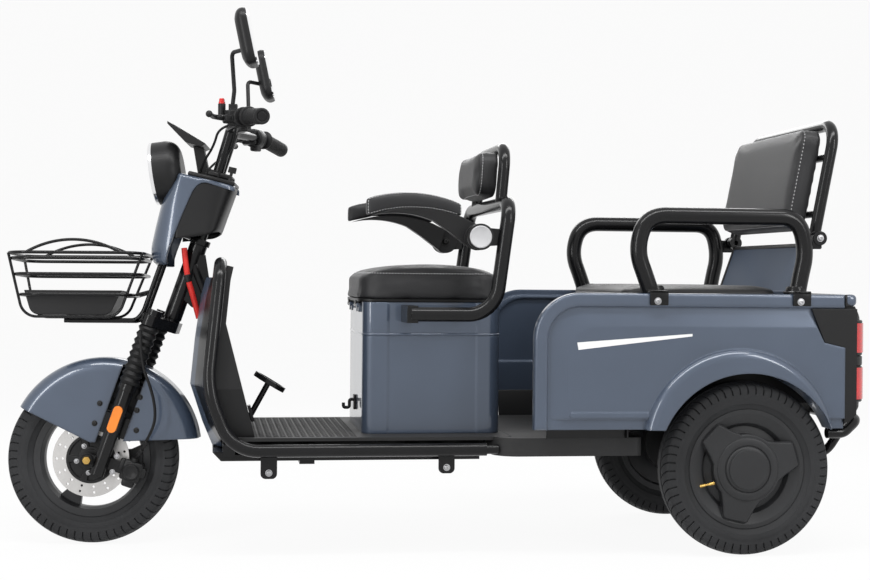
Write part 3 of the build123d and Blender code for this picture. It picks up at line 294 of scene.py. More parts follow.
# Leg shield: black moulded inner wall on the rider's side and a painted outer wall in front of it.
# The paint is a slate blue base with fine metal flake under a thick clear coat.
slate_blue = coat("slate_blue_paint", (0.062, 0.082, 0.120), 0.3, drift=0.05, peel=140.0, depth=0.00003,
                  strength=0.12, edge=0.007, Metallic=0.25, Specular_IOR_Level=0.3, Coat_Weight=0.8,
                  Coat_Roughness=0.04)
dress(slate_blue, "seat_box", "rear_side_left", "rear_side_right", "front_fender", "fairing_shell")
shield_paint_with_flank_shade = coat("shield_paint_with_flank_shade", (0.062, 0.082, 0.120), 0.3, drift=0.05, peel=140.0, depth=0.00003,
                    strength=0.12, edge=0.006, Specular_IOR_Level=0.3)
paint_tree = shield_paint_with_flank_shade.node_tree
# Beyond 0.129 m to each side the shield's base colour turns near black. This is painted dark reflection and
# shade on the flanks, which face away at a grazing angle.
parts = paint_tree.nodes.new("ShaderNodeSeparateXYZ")
sideways = paint_tree.nodes.new("ShaderNodeMath")
sideways.operation = "ABSOLUTE"
flank = paint_tree.nodes.new("ShaderNodeMapRange")
flank.inputs["From Min"].default_value = 0.128
flank.inputs["From Max"].default_value = 0.130
painted_flank_shade = paint_tree.nodes.new("ShaderNodeMix")
painted_flank_shade.data_type = "RGBA"
painted_flank_shade.inputs["B"].default_value = (0.007, 0.007, 0.0075, 1.0)
paint_tree.links.new(paint_tree.nodes["Texture Coordinate"].outputs["Object"], parts.inputs[0])
paint_tree.links.new(parts.outputs["Y"], sideways.inputs[0])
paint_tree.links.new(sideways.outputs[0], flank.inputs["Value"])
paint_tree.links.new(flank.outputs[0], painted_flank_shade.inputs["Factor"])
paint_tree.links.new(paint_tree.nodes["Color Ramp"].outputs["Color"], painted_flank_shade.inputs["A"])
paint_tree.links.new(painted_flank_shade.outputs["Result"], paint_tree.nodes["Principled BSDF"].inputs["Base Color"])
dress(shield_paint_with_flank_shade, "leg_shield_front")
dress(satin_black, "leg_shield_inner", "bag_hook", "rear_tail", "rear_bench", "driver_seat_pan",
      "armrest_left", "armrest_right", "headlight", "fairing_cover", "controls", "mirrors", "display",
      "basket_tray", "battery")

# Seat box: painted sheet box bolted to the deck, with one pressed bead round it below the seat.
# The bead runs round all four rounded corners.
box_corner = 0.030
bead_path = []
for cx, cy, first in ((0.145, 0.150, 0), (-0.129, 0.150, 90), (-0.129, -0.150, 180), (0.145, -0.150, 270)):
    for k in range(7):
        angle = radians(first + 15 * k)
        bead_path.append((Vector((cx + box_corner * cos(angle), cy + box_corner * sin(angle), 0.5150)),
                          Vector((cos(angle), sin(angle), 0.0))))
work = bmesh.new()
bead_rings = [[work.verts.new(spot + out * lift + Vector((0.0, 0.0, rise))) for spot, out in bead_path]
              for lift, rise in ((-0.003, -0.0032), (0.0003, -0.0028), (0.0014, -0.0012), (0.0014, 0.0012),
                                 (0.0003, 0.0028), (-0.003, 0.0032))]
for low, high in zip(bead_rings, bead_rings[1:]):
    for k in range(len(bead_path)):
        n = (k + 1) % len(bead_path)
        work.faces.new((low[k], low[n], high[n], high[k]))
piece("seat_box_bead", work, slate_blue, "chassis", 60)

# Footwell skirts: black moulded strips that close the gap between the rear floor and the side walls.
# Each is clipped under the wall's lower flange.
work = bmesh.new()
for s in (1, -1):
    skirt = [[work.verts.new((x, s * y, z)) for x in (-0.246, -0.4355)]
             for y, z in ((0.3185, 0.345), (0.3145, 0.345), (0.2965, 0.2800), (0.2965, 0.2770),
                          (0.3005, 0.2770))]
    for low, high in zip(skirt, skirt[1:] + skirt[:1]):
        work.faces.new((low[0], low[1], high[1], high[0]))
    for end in (0, 1):
        work.faces.new([row[end] for row in skirt])
piece("footwell_skirts", work, satin_black, "chassis")

# Cushions: foam in dark grey artificial leather, sewn from a top panel and a side band with light
# thread, and stapled under the pan.


def leather(name, colour):
    """Grained leather: small rounded cells with fine creases between them."""
    stuff = coat(name, colour, 0.46, drift=0.18, peel=1400.0, depth=0.0001, strength=0.25,
                 Specular_IOR_Level=0.3)
    tree = stuff.node_tree
    where = tree.nodes["Texture Coordinate"]
    cells = tree.nodes.new("ShaderNodeTexVoronoi")
    cells.feature = "DISTANCE_TO_EDGE"
    cells.inputs["Scale"].default_value = 520.0
    crease = tree.nodes.new("ShaderNodeMapRange")
    crease.inputs["From Max"].default_value = 0.16
    second = tree.nodes.new("ShaderNodeBump")
    second.inputs["Strength"].default_value = 0.35
    second.inputs["Distance"].default_value = 0.00025
    tree.links.new(where.outputs["Object"], cells.inputs["Vector"])
    tree.links.new(cells.outputs["Distance"], crease.inputs["Value"])
    tree.links.new(crease.outputs[0], second.inputs["Height"])
    tree.links.new(tree.nodes["Bump"].outputs["Normal"], second.inputs["Normal"])
    tree.links.new(second.outputs["Normal"], tree.nodes["Principled BSDF"].inputs["Normal"])
    return stuff


seat_leather = leather("seat_leather", (0.0185, 0.0185, 0.0198))
thread = coat("light_thread", (0.55, 0.55, 0.56), 0.7, peel=3000.0, depth=0.0001)


def settle(thing, mesh):
    """Puts a new mesh in an object and drops the old one."""
    old = thing.data
    thing.modifiers.clear()
    thing.data = mesh
    bpy.data.meshes.remove(old)


def baked(thing):
    """The object's mesh with its modifiers worked in."""
    return bpy.data.meshes.new_from_object(thing.evaluated_get(bpy.context.evaluated_depsgraph_get()))


def cushion(name, node, body, voxel, inset, cap, held, rounds=4):
    """Swells a copy of the plain pad. held tells, for a point, whether it rests on something and stays put."""
    work = bmesh.new()
    work.from_mesh(nodes[node].data)
    bmesh.ops.remove_doubles(work, verts=work.verts, dist=0.00002)
    mesh = bpy.data.meshes.new(name)
    work.to_mesh(mesh)
    work.free()
    pad = bpy.data.objects.new(name, mesh)
    scene.collection.objects.link(pad)
    even = pad.modifiers.new("even", "REMESH")
    even.mode = "VOXEL"
    even.voxel_size = voxel
    settle(pad, baked(pad))
    stays = pad.vertex_groups.new(name="stays")
    start = []
    for v in pad.data.vertices:
        if held(v.co):
            stays.add([v.index], 1.0, "REPLACE")
            start.append(v.co.copy())
        else:
            start.append(v.co - v.normal * inset)
    for v, co in zip(pad.data.vertices, start):
        v.co = co
    fill_up = pad.modifiers.new("fill_up", "CLOTH")
    fill_up.settings.use_pressure = True
    fill_up.settings.uniform_pressure_force = 4.0
    fill_up.settings.effector_weights.gravity = 0.0
    fill_up.settings.quality = 4
    fill_up.settings.vertex_group_mass = "stays"
    fill_up.collision_settings.use_collision = False
    fill_up.point_cache.frame_start = 1
    fill_up.point_cache.frame_end = 20
    for step in range(1, 21):
        scene.frame_set(step)
    swollen = baked(pad)
    for v, co in zip(swollen.vertices, start):
        move = v.co - co
        if move.length > cap:
            v.co = co + move * (cap / move.length)
    settle(pad, swollen)
    scene.frame_set(1)
    ease = pad.modifiers.new("ease", "SMOOTH")
    ease.iterations = rounds
    ease.factor = 0.4
    settle(pad, baked(pad))
    pad.data.shade_smooth()
    pad.data.materials.clear()
    pad.data.materials.append(seat_leather)
    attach(pad, body)
    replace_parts(pad, node)
    return pad


def pinch(pad, height, width, depth):
    """Draws the leather in along a seam, where a height function of the point is near zero."""
    for v in pad.data.vertices:
        near = height(v.co) / width
        v.co -= v.normal * depth * exp(-near * near)


def finer(pad):
    """One step of subdivision, worked in."""
    soft = pad.modifiers.new("soft", "SUBSURF")
    soft.levels = 1
    soft.render_levels = 1
    settle(pad, baked(pad))
    pad.data.shade_smooth()


def seam_loops(pad, point, direction):
    """Where a plane cuts a pad: closed rings of (point, outward normal), the longest first."""
    tree = BVHTree.FromPolygons([v.co for v in pad.data.vertices],
                                [tuple(p.vertices) for p in pad.data.polygons])
    work = bmesh.new()
    work.from_mesh(pad.data)
    cut = bmesh.ops.bisect_plane(work, geom=work.verts[:] + work.edges[:] + work.faces[:], plane_co=point,
                                 plane_no=direction)
    edges = {g for g in cut["geom_cut"] if isinstance(g, bmesh.types.BMEdge)}
    rings = []
    while edges:
        first = edges.pop()
        ring = [first.verts[0], first.verts[1]]
        while True:
            ahead = [e for e in ring[-1].link_edges if e in edges]
            if not ahead:
                break
            edges.discard(ahead[0])
            ring.append(ahead[0].other_vert(ring[-1]))
        rings.append([v.co.copy() for v in ring])
    work.free()
    rings.sort(key=len, reverse=True)
    return [[(p, tree.find_nearest(p)[1]) for p in ring] for ring in rings]


def stitches(name, ring, pitch, body, lift=0.0004, length=0.0046, width=0.0009):
    """Short raised threads along a ring, one every pitch."""
    work = bmesh.new()
    gone = pitch
    for (a, na), (b, nb) in zip(ring, ring[1:]):
        run = (b - a).length
        while gone < run:
            t = gone / run
            out = na.lerp(nb, t).normalized()
            along = (b - a).normalized()
            across = out.cross(along)
            middle = a.lerp(b, t) + out * lift
            tips = [middle - along * length / 2 - out * lift, middle + along * length / 2 - out * lift]
            ribs = [[middle + along * k * length / 4 + across * width * cos(t2) + out * width * sin(t2)
                     for t2 in (0.0, pi / 2, pi, 3 * pi / 2)] for k in (-1, 1)]
            ends = [work.verts.new(p) for p in tips]
            rows = [[work.verts.new(p) for p in rib] for rib in ribs]
            for k in range(4):
                n = (k + 1) % 4
                work.faces.new((ends[0], rows[0][n], rows[0][k]))
                work.faces.new((rows[0][k], rows[0][n], rows[1][n], rows[1][k]))
                work.faces.new((ends[1], rows[1][k], rows[1][n]))
            gone += pitch
        gone -= run
    return piece(name, work, thread, body)


# Driver's seat: a deep crowned cushion on a hinged pan, with one seam round the top panel.
# The stitches stand just above the seam.
driver_seam = 0.657
seat_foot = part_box("driver_seat_cushion")[0][2] + 0.004
driver_cushion = cushion("driver_cushion", "driver_seat_cushion", "driver_seat", 0.0055, 0.002, 0.004,
                         lambda p: p.z < seat_foot, 10)
pinch(driver_cushion, lambda p: p.z - driver_seam, 0.005, 0.0018)
finer(driver_cushion)
driver_ring = seam_loops(driver_cushion, (0, 0, driver_seam + 0.0042), (0, 0, 1))[0]
stitches("driver_cushion_stitches", driver_ring, 0.0072, "driver_seat")

# Driver's backrest: a rounded pad screwed to the upper hoop, sewn near its front edge.
# Foam under the same leather, with a plain board at its back.
back_pad = cushion("driver_back_pad", "driver_backrest", "chassis", 0.005, 0.002, 0.005,
                   lambda p: p.x < -0.148, 12)
pinch(back_pad, lambda p: p.x + 0.120, 0.005, 0.0018)
finer(back_pad)
stitches("driver_back_stitches", seam_loops(back_pad, (-0.1155, 0, 0.906), (1, 0, 0.07))[0], 0.0072,
         "chassis")

# Armrests: moulded arms with a leather pad on top, that flip up on a pin. A grey cap covers the
# pin on the outside and a screw holds it on the inside.
pin_x, pin_z = -0.087, 0.748
cap_grey = coat("cap_grey", (0.46, 0.46, 0.47), 0.42, drift=0.06, peel=1600.0)
for side, s in (("left", 1), ("right", -1)):
    body = f"armrest_{side}"
    arm_pad = cushion(f"{body}_top", f"{body}_pad", body, 0.004, 0.0015, 0.004, lambda p: p.z < 0.799,
                      16)
    finer(arm_pad)
    rings = seam_loops(arm_pad, (0, s * 0.2545, 0.82), (0, 1, 0))
    stitches(f"{body}_stitches", rings[0], 0.0068, body)
    cap_work = bmesh.new()
    lathe(cap_work, ((0.0262, -0.001), (0.0262, 0.0012), (0.0246, 0.0026), (0.0236, 0.0026), (0.0228, 0.0020),
                     (0, 0.0026)), aim((pin_x, s * 0.295, pin_z), (0, s, 0)), 48)
    piece(f"{body}_cap", cap_work, cap_grey, body)
    bolts(f"{body}_screw", [((pin_x, s * 0.2425, pin_z), (0, -s, 0))], 0.0085, black_screws, body)

# Passenger bench cushion: wide and low between the side walls, in the same leather.
# It rests on the bench board and is sewn round its top panel.
bench_seam = 0.612
bench_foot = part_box("rear_seat")[0][2] + 0.004
bench_cushion = cushion("bench_cushion", "rear_seat", "chassis", 0.007, 0.003, 0.006,
                        lambda p: p.z < bench_foot, 8)
pinch(bench_cushion, lambda p: p.z - bench_seam, 0.007, 0.002)
finer(bench_cushion)
stitches("bench_stitches", seam_loops(bench_cushion, (0, 0, bench_seam + 0.0055), (0, 0, 1))[0], 0.009,
         "chassis")

# Passenger backrest: a tall pad on the folding frame with a row of stitches inside its edge.
# The frame hangs on two pins at the hoops and folds forward.
back_lean = 11
fold_x, fold_z = -0.906, 0.754
fold_place = moved((fold_x, 0, fold_z)) @ tilted(-back_lean, "Y")
fold_back = fold_place.inverted()
wide_pad = cushion("passenger_back_pad", "rear_back_cushion", "rear_backrest", 0.006, 0.002, 0.004,
                   lambda p: (fold_back @ p).x < 0.0185, 12)
pinch(wide_pad, lambda p: (fold_back @ p).x - 0.050, 0.006, 0.002)
finer(wide_pad)
stitches("passenger_back_stitches",
         seam_loops(wide_pad, fold_place @ Vector((0.0545, 0, 0.14)),
                    fold_place.to_3x3() @ Vector((1, 0, 0)))[0], 0.009, "rear_backrest")

# Panel under the passenger backrest: painted sheet with a black edge moulding, screwed to the bench.
# Its paint is duller than the body's.


def case(work, place, size, radius, steps=3):
    """Adds a moulded block with rounded edges to a bmesh."""
    block = bmesh.new()
    bmesh.ops.create_cube(block, size=1.0)
    bmesh.ops.scale(block, vec=size, verts=block.verts)
    bmesh.ops.bevel(block, geom=block.edges[:], offset=radius, segments=steps, profile=0.5, affect="EDGES")
    bmesh.ops.transform(block, matrix=place, verts=block.verts)
    step = bpy.data.meshes.new("case")
    block.to_mesh(step)
    block.free()
    work.from_mesh(step)
    bpy.data.meshes.remove(step)


panel_paint = coat("panel_paint", (0.062, 0.082, 0.120), 0.5, drift=0.05, peel=140.0, depth=0.00003,
                   strength=0.12, edge=0.004, Specular_IOR_Level=0.12)
dress(panel_paint, "rear_back_panel")
panel_place = moved((-0.881, 0.0, 0.681)) @ tilted(-19.5, "Y")
panel_half = (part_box("rear_back_panel")[1][1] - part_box("rear_back_panel")[0][1]) / 2
work = bmesh.new()
case(work, panel_place @ moved((0.0052, 0.0, 0.0595)), (0.0035, 2 * panel_half - 0.0005, 0.0100), 0.0015)
for s in (1, -1):
    case(work, panel_place @ moved((0.0052, s * (panel_half - 0.0062), 0.0)), (0.0035, 0.0120, 0.1275),
         0.0015)
piece("panel_moulding", work, satin_black, "chassis")

# Side panels of the rear body: painted sheet with one plain tapered white stripe on each side.
# The stripe is cut from thin white film and stuck on.
decal_white = coat("white_decal", (0.80, 0.80, 0.80), 0.35, drift=0.03, Coat_Weight=0.4)
stripe_corners = ((-0.3035, 0.5050), (-0.3065, 0.4880), (-0.5790, 0.5200), (-0.5790, 0.5258))
for side, s in (("left", 1), ("right", -1)):
    work = bmesh.new()
    inner = [work.verts.new((x, s * 0.3609, z)) for x, z in stripe_corners]
    outer = [work.verts.new((x, s * 0.3614, z)) for x, z in stripe_corners]
    work.faces.new(outer)
    for k in range(4):
        n = (k + 1) % 4
        work.faces.new((inner[k], inner[n], outer[n], outer[k]))
    piece(f"stripe_{side}", work, decal_white, "chassis")

# Passenger hoops: steel tube bent on a large former, gloss black, standing in folded clamps on the rail.
# Each clamp is held by a zinc screw, and a welded ear with a pin carries the folding backrest.


def flowing(name, points, radius):
    """A curve object of one smooth open line."""
    data = bpy.data.curves.new(name, "CURVE")
    data.dimensions = "3D"
    data.bevel_depth = radius
    data.bevel_resolution = 5
    data.resolution_u = 14
    data.use_fill_caps = True
    spline = data.splines.new("NURBS")
    spline.points.add(len(points) - 1)
    for knot, spot in zip(spline.points, points):
        knot.co = (*spot, 1.0)
    spline.order_u = 3
    spline.use_endpoint_u = True
    made = bpy.data.objects.new(name, data)
    scene.collection.objects.link(made)
    return made


hoop_y = 0.323
clamp_xs = (-0.497, -0.845)
hoop_line = ((-0.498, 0.592), (-0.480, 0.648), (-0.4515, 0.722), (-0.478, 0.803), (-0.575, 0.803),
             (-0.760, 0.803), (-0.850, 0.803), (-0.8715, 0.722), (-0.8545, 0.6505), (-0.845, 0.592))
for side, s in (("left", 1), ("right", -1)):
    rail = flowing(f"hoop_line_{side}", [(x, s * hoop_y, z) for x, z in hoop_line], 0.020)
    rail_mesh = baked(rail)
    bpy.data.objects.remove(rail)
    work = bmesh.new()
    work.from_mesh(rail_mesh)
    bpy.data.meshes.remove(rail_mesh)
    for x in clamp_xs:
        case(work, moved((x, s * 0.365, 0.6095)), (0.044, 0.006, 0.035), 0.0022)
        case(work, moved((x, s * 0.3335, 0.6237)), (0.044, 0.069, 0.007), 0.0022)
        lathe(work, ((0.0235, 0.0), (0.0235, 0.005), (0.0205, 0.011)), moved((x, s * hoop_y, 0.627)), 32)
    case(work, moved((-0.886, s * 0.316, 0.745)), (0.052, 0.010, 0.034), 0.004)
    lathe(work, ((0, -0.012), (0.017, -0.012), (0.017, 0.0), (0, 0.0)),
          aim((fold_x, s * 0.311, fold_z), (0, -s, 0)), 32)
    hoop = piece(f"passenger_hoop_{side}", work, gloss_black, "chassis")
    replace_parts(hoop, f"rear_hoop_{side}")
bolts("ear_screws", [((fold_x, s * 0.3235, fold_z), (0, s, 0)) for s in (1, -1)], 0.0062, zinc, "chassis")
bolts("hoop_screws", [((x + 0.004, s * 0.368, 0.602), (0, s, 0)) for x in clamp_xs for s in (1, -1)], 0.0062,
      zinc, "chassis")

# Tail lamps: red moulded lenses with prism bands, wrapped round the tail corners.
# Black bezels, three a side, frame them.
corner_x, corner_y, corner_radius = -0.964, 0.306, 0.046
lamp_red = coat("red_lens", (0.50, 0.008, 0.010), 0.14, drift=0.25, peel=160.0, depth=0.0004, strength=0.3,
                Coat_Weight=0.6)
dress(lamp_red, "tail_lamps")
lamp_line = [(corner_x - corner_radius * sin(radians(a)), corner_y + corner_radius * cos(radians(a)))
             for a in range(12, 91, 6)]
lamp_line += [(-1.010, 0.230)]
work = bmesh.new()
for s in (1, -1):
    for low, high in ((0.364, 0.449), (0.4505, 0.4735), (0.475, 0.559)):
        loops = []
        for z, grow in ((low, 0.0), (low, 0.0045), (low + 0.002, 0.0065), (high - 0.002, 0.0065),
                        (high, 0.0045), (high, 0.0)):
            row = []
            for x, y in lamp_line:
                out = Vector((min(0.0, x - corner_x), max(0.0, y - corner_y), 0.0)).normalized()
                row.append(work.verts.new((x + out.x * grow, s * (y + out.y * grow), z)))
            loops.append(row)
        for below, above in zip(loops, loops[1:]):
            for k in range(len(lamp_line) - 1):
                work.faces.new((below[k], below[k + 1], above[k + 1], above[k]))
        for end in (0, -1):
            work.faces.new([row[end] for row in loops])
piece("lamp_bezels", work, satin_black, "chassis")

# Tail cap: the painted end of the body rail, wrapped across the tail above the lamps.
# It is pressed from the same sheet and welded on.
work = bmesh.new()
case(work, moved((-0.9695, 0.0, 0.6063)), (0.031, 0.7225, 0.0285), 0.0105, 4)
piece("tail_cap", work, slate_blue, "chassis")

# Tyres: black rubber with square shoulders, sixty swept grooves on each side and two grooves round
# the crown. The tread is cut into the same section as the plain ring.
tyre_black = coat("tyre_rubber_black", (0.026, 0.0265, 0.028), 0.66, drift=0.2, peel=700.0, depth=0.00015,
                  strength=0.35, Specular_IOR_Level=0.2)
tyre_rows = (  # half width, radius, share of groove depth, sweep
    (0.0280, 0.1410, 0.0, 0.0), (0.0330, 0.1480, 0.0, 0.0), (0.0368, 0.1545, 0.0, 0.0),
    (0.0378, 0.1550, 0.0, 0.0), (0.0388, 0.1600, 0.0, 0.0), (0.0396, 0.1680, 0.0, 0.0),
    (0.0392, 0.1690, 0.0, 0.0), (0.0399, 0.1745, 0.0, 0.0), (0.0400, 0.1775, 0.0, 0.0),
    (0.0398, 0.1790, 1.0, 0.0), (0.0390, 0.1850, 1.0, 0.0), (0.0380, 0.1910, 1.0, 0.02),
    (0.0362, 0.1958, 1.0, 0.06), (0.0330, 0.1989, 1.0, 0.12), (0.0280, 0.2010, 1.0, 0.24),
    (0.0220, 0.2030, 1.0, 0.44), (0.0160, 0.2045, 1.0, 0.72), (0.0125, 0.2051, 0.9, 0.90),
    (0.0120, 0.2012, 0.0, 0.94), (0.0082, 0.2017, 0.0, 1.15), (0.0077, 0.2057, 0.0, 1.2),
    (0.0035, 0.2060, 0.0, 1.4),
)
groove_steps = ((0.0, 0), (0.035, 1), (0.155, 1), (0.19, 0), (0.46, 0), (0.73, 0))
groove_count = 60
groove_depth = 0.0046


def road_tyre(name, node, body, joint):
    """A treaded tyre about the wheel's own axle line."""
    spot = next(j for j in frame["joints"] if j["name"] == joint)
    place = aim(spot["pos_m"], spot["axis"])
    section = [(-half, radius, cut, sweep) for half, radius, cut, sweep in tyre_rows]
    section += [(half, radius, cut, sweep) for half, radius, cut, sweep in reversed(tyre_rows)]
    work = bmesh.new()
    rings = []
    for half, radius, cut, sweep in section:
        flat = 1.0 if abs(half) < 0.0365 else 0.0
        ring = []
        for pitch in range(groove_count):
            for part, deep in groove_steps:
                angle = 2 * pi * (pitch + part + sweep) / groove_count
                down = groove_depth * cut * deep
                reach = radius - down * (0.15 + 0.85 * flat)
                side_in = half - (down * 0.8 * (1 - flat) if half > 0 else -down * 0.8 * (1 - flat))
                ring.append(work.verts.new(place @ Vector((reach * cos(angle), reach * sin(angle), side_in))))
        rings.append(ring)
    count = groove_count * len(groove_steps)
    for low, high in zip(rings, rings[1:] + rings[:1]):
        for k in range(count):
            n = (k + 1) % count
            work.faces.new((low[k], low[n], high[n], high[k]))
    made = piece(name, work, tyre_black, body, 34)
    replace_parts(made, node)


road_tyre("rear_tread_left", "rear_tyre_left", "rear_wheel_left", "rear_wheel_left_spin")
road_tyre("rear_tread_right", "rear_tyre_right", "rear_wheel_right", "rear_wheel_right_spin")
road_tyre("front_tread", "front_tyre", "front_wheel", "front_wheel_spin")

# Wheels: cast alloy, satin black, with moulded three-wing covers at the rear and brass valves.
# The hub caps are snapped into the rear covers.
wheel_black = coat("wheel_satin", (0.022, 0.0225, 0.024), 0.42, peel=1200.0, depth=0.00008, edge=0.003,
                   Specular_IOR_Level=0.3)
dress(wheel_black, "front_rim", "rear_wheel_left", "rear_wheel_right")
brass = coat("valve_brass", (0.62, 0.40, 0.12), 0.28, drift=0.2, Metallic=1.0)
axle_x, axle_z = -0.722, 0.206
valve_circle = 0.118
valve_rows = ((0.0042, 0.0), (0.0042, 0.012), (0.0032, 0.0125), (0.0032, 0.022), (0.0042, 0.0225),
              (0.0042, 0.034), (0.0036, 0.0365), (0, 0.0365))
for side, s in (("left", 1), ("right", -1)):
    work = bmesh.new()
    angle = radians(200) if s > 0 else radians(-20)
    foot = Vector((axle_x - valve_circle * cos(angle), s * 0.3325, axle_z + valve_circle * sin(angle)))
    lathe(work, valve_rows, aim(foot, (0.5 * cos(angle), s * 0.35, -0.5 * sin(angle))), 16)
    piece(f"rear_valve_{side}", work, brass, f"rear_wheel_{side}")

cap_rows = ((0.0752, 0.3452), (0.0735, 0.3482), (0.0700, 0.3494), (0.0590, 0.3498), (0.0562, 0.3488),
            (0.0552, 0.3468), (0.0540, 0.3468), (0.0530, 0.3494), (0.0505, 0.3508), (0.0300, 0.3514),
            (0, 0.3516))
for side, s in (("left", 1), ("right", -1)):
    work = bmesh.new()
    lathe(work, cap_rows, aim((axle_x, 0, axle_z), (0, s, 0)), 72)
    piece(f"hub_cap_{side}", work, wheel_black, f"rear_wheel_{side}")

# Front brake disc: ground and drilled steel ring on a black cast carrier with five pockets, bolted to
# the hub. A brass nut closes the axle.
disc_steel = coat("ground_steel", (0.52, 0.51, 0.50), 0.36, drift=0.08, Metallic=0.8)
dress(disc_steel, "brake_disc")
dress(chassis_black, "front_axle")
steer_joint = next(j for j in frame["joints"] if j["name"] == "steering")
steer_point = Vector(steer_joint["pos_m"])
steered = (moved(steer_point) @ tilted(-7, Vector(steer_joint["axis"]))
           @ moved(-steer_point))
turned = steered.to_3x3()
axle_frame = steered @ moved((0.813, 0.0, 0.206)) @ tilted(-90, "X")
carrier_rings = ((0.0100, 0.0500), (0.0225, 0.0500), (0.0240, 0.0475), (0.0290, 0.0472), (0.0300, 0.0470, 1),
                 (0.0325, 0.0470, 1), (0.0490, 0.0470, 1), (0.0515, 0.0470, 1), (0.0525, 0.0472),
                 (0.0580, 0.0468), (0.0592, 0.0455), (0.0592, 0.0431))
work = bmesh.new()
rings = []
for radius, height, *pocket in carrier_rings:
    ring = []
    for step in range(120):
        sunk = pocket and abs((3 * step) % 72 - 36) < 26
        angle = radians(3 * step)
        ring.append(work.verts.new(axle_frame @ Vector((radius * cos(angle), radius * sin(angle),
                                                        0.0434 if sunk else height))))
    rings.append(ring)
for low, high in zip(rings, rings[1:]):
    for k in range(120):
        work.faces.new((low[k], low[(k + 1) % 120], high[(k + 1) % 120], high[k]))
piece("disc_carrier", work, satin_black, "front_wheel", 30)
bolts("carrier_screws", [(axle_frame @ Vector((0.034 * cos(a), 0.034 * sin(a), 0.0470)),
                          turned @ Vector((0, 1, 0))) for a in (radians(72 * k + 10) for k in range(5))],
      0.0045, zinc, "front_wheel")
work = bmesh.new()
lathe(work, ((0.0100, 0.0955, 1), (0.0100, 0.1015, 1), (0.0086, 0.1025), (0.0062, 0.1025), (0.0058, 0.1040),
             (0, 0.1045)), axle_frame)
piece("axle_nut", work, brass, "steering")

# Fork: rubber bellows over the stanchions, gloss sliders and orange reflectors.
# The legs are steel tube, clamped in a welded crown that is raked back.
fork_rake = 19
bellows_rubber = coat("bellows_rubber", (0.008, 0.008, 0.0085), 0.48, peel=800.0, depth=0.0001,
                      Specular_IOR_Level=0.22)
dress(bellows_rubber, "fork_gaiters", "brake_hose")
orange_lens = coat("orange_lens", (0.83, 0.22, 0.008), 0.22, drift=0.12, peel=420.0, depth=0.0006,
                   strength=0.5, Coat_Weight=0.5)
dress(orange_lens, "fork_reflectors")
fork_frame = steered @ moved((0.600, 0.0, 0.625)) @ tilted(-fork_rake, "Y")

# Brake caliper: cast body over the disc with a round piston housing, two zinc bolts into the fork lug
# and a banjo bolt for the hose. The rubber hose is crimped at its lower end.
work = bmesh.new()
case(work, fork_frame @ moved((-0.040, 0.0600, -0.4595)), (0.050, 0.022, 0.050), 0.007)
case(work, fork_frame @ moved((-0.040, 0.0590, -0.4890)), (0.030, 0.018, 0.020), 0.006)
case(work, fork_frame @ moved((-0.066, 0.0590, -0.4560)), (0.016, 0.016, 0.026), 0.005)
case(work, fork_frame @ moved((-0.014, 0.0610, -0.4500)), (0.016, 0.012, 0.030), 0.005)
lathe(work, ((0.0195, 0.069), (0.0195, 0.0745), (0.0178, 0.0768), (0.0150, 0.0768), (0.0142, 0.0752, 1),
             (0.0130, 0.0745, 1), (0, 0.0745)), fork_frame @ moved((-0.040, 0.0, -0.4610)) @ tilted(-90, "X"),
      36)
lathe(work, ((0.0060, 0.064, 1), (0.0060, 0.0700, 1), (0.0045, 0.0712), (0, 0.0712)),
      fork_frame @ moved((-0.038, 0.0, -0.4325)) @ tilted(-90, "X"))
piece("caliper_casting", work, satin_black, "steering")
bolts("caliper_bolts", [(steered @ Vector(spot), turned @ Vector((0, 1, 0)))
                        for spot in ((0.747, 0.0665, 0.214), (0.757, 0.0665, 0.176))], 0.0048, zinc,
      "steering")
hose_route = [steered @ Vector(spot)
              for spot in ((0.688, 0.105, 0.516), (0.687, 0.106, 0.440), (0.658, 0.108, 0.372),
                           (0.648, 0.106, 0.310), (0.664, 0.095, 0.264), (0.706, 0.055, 0.201))]
hose = flowing("caliper_hose", hose_route, 0.0035)
hose.data.materials.append(bellows_rubber)
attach(hose, "steering")
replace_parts(hose, "brake_hose")
work = bmesh.new()
hose_end = (hose_route[5] - hose_route[4]).normalized()
for along, length in ((0.018, 0.016), (0.046, 0.018)):
    lathe(work, ((0.0036, -0.001), (0.0056, 0.0), (0.0056, length * 0.4), (0.0048, length * 0.45),
                 (0.0048, length * 0.55), (0.0056, length * 0.6), (0.0056, length), (0.0036, length + 0.001)),
          aim(hose_route[4] + hose_end * along, hose_end), 20)
crimps = piece("hose_crimps", work, satin_black, "steering")

# Front fender: painted sheet with five black screws on each flank, where it is fixed to the fork.
# The flanks are slotted for the legs.
fender_flank = 0.061
fender_rows = ((0.790, 0.340), (0.802, 0.292), (0.694, 0.355), (0.701, 0.3235), (0.702, 0.2755))
bolts("fender_screws", [(steered @ Vector((x, s * fender_flank, z)), turned @ Vector((0, s, 0)))
                        for x, z in fender_rows for s in (1, -1)], 0.0052, black_screws, "steering")

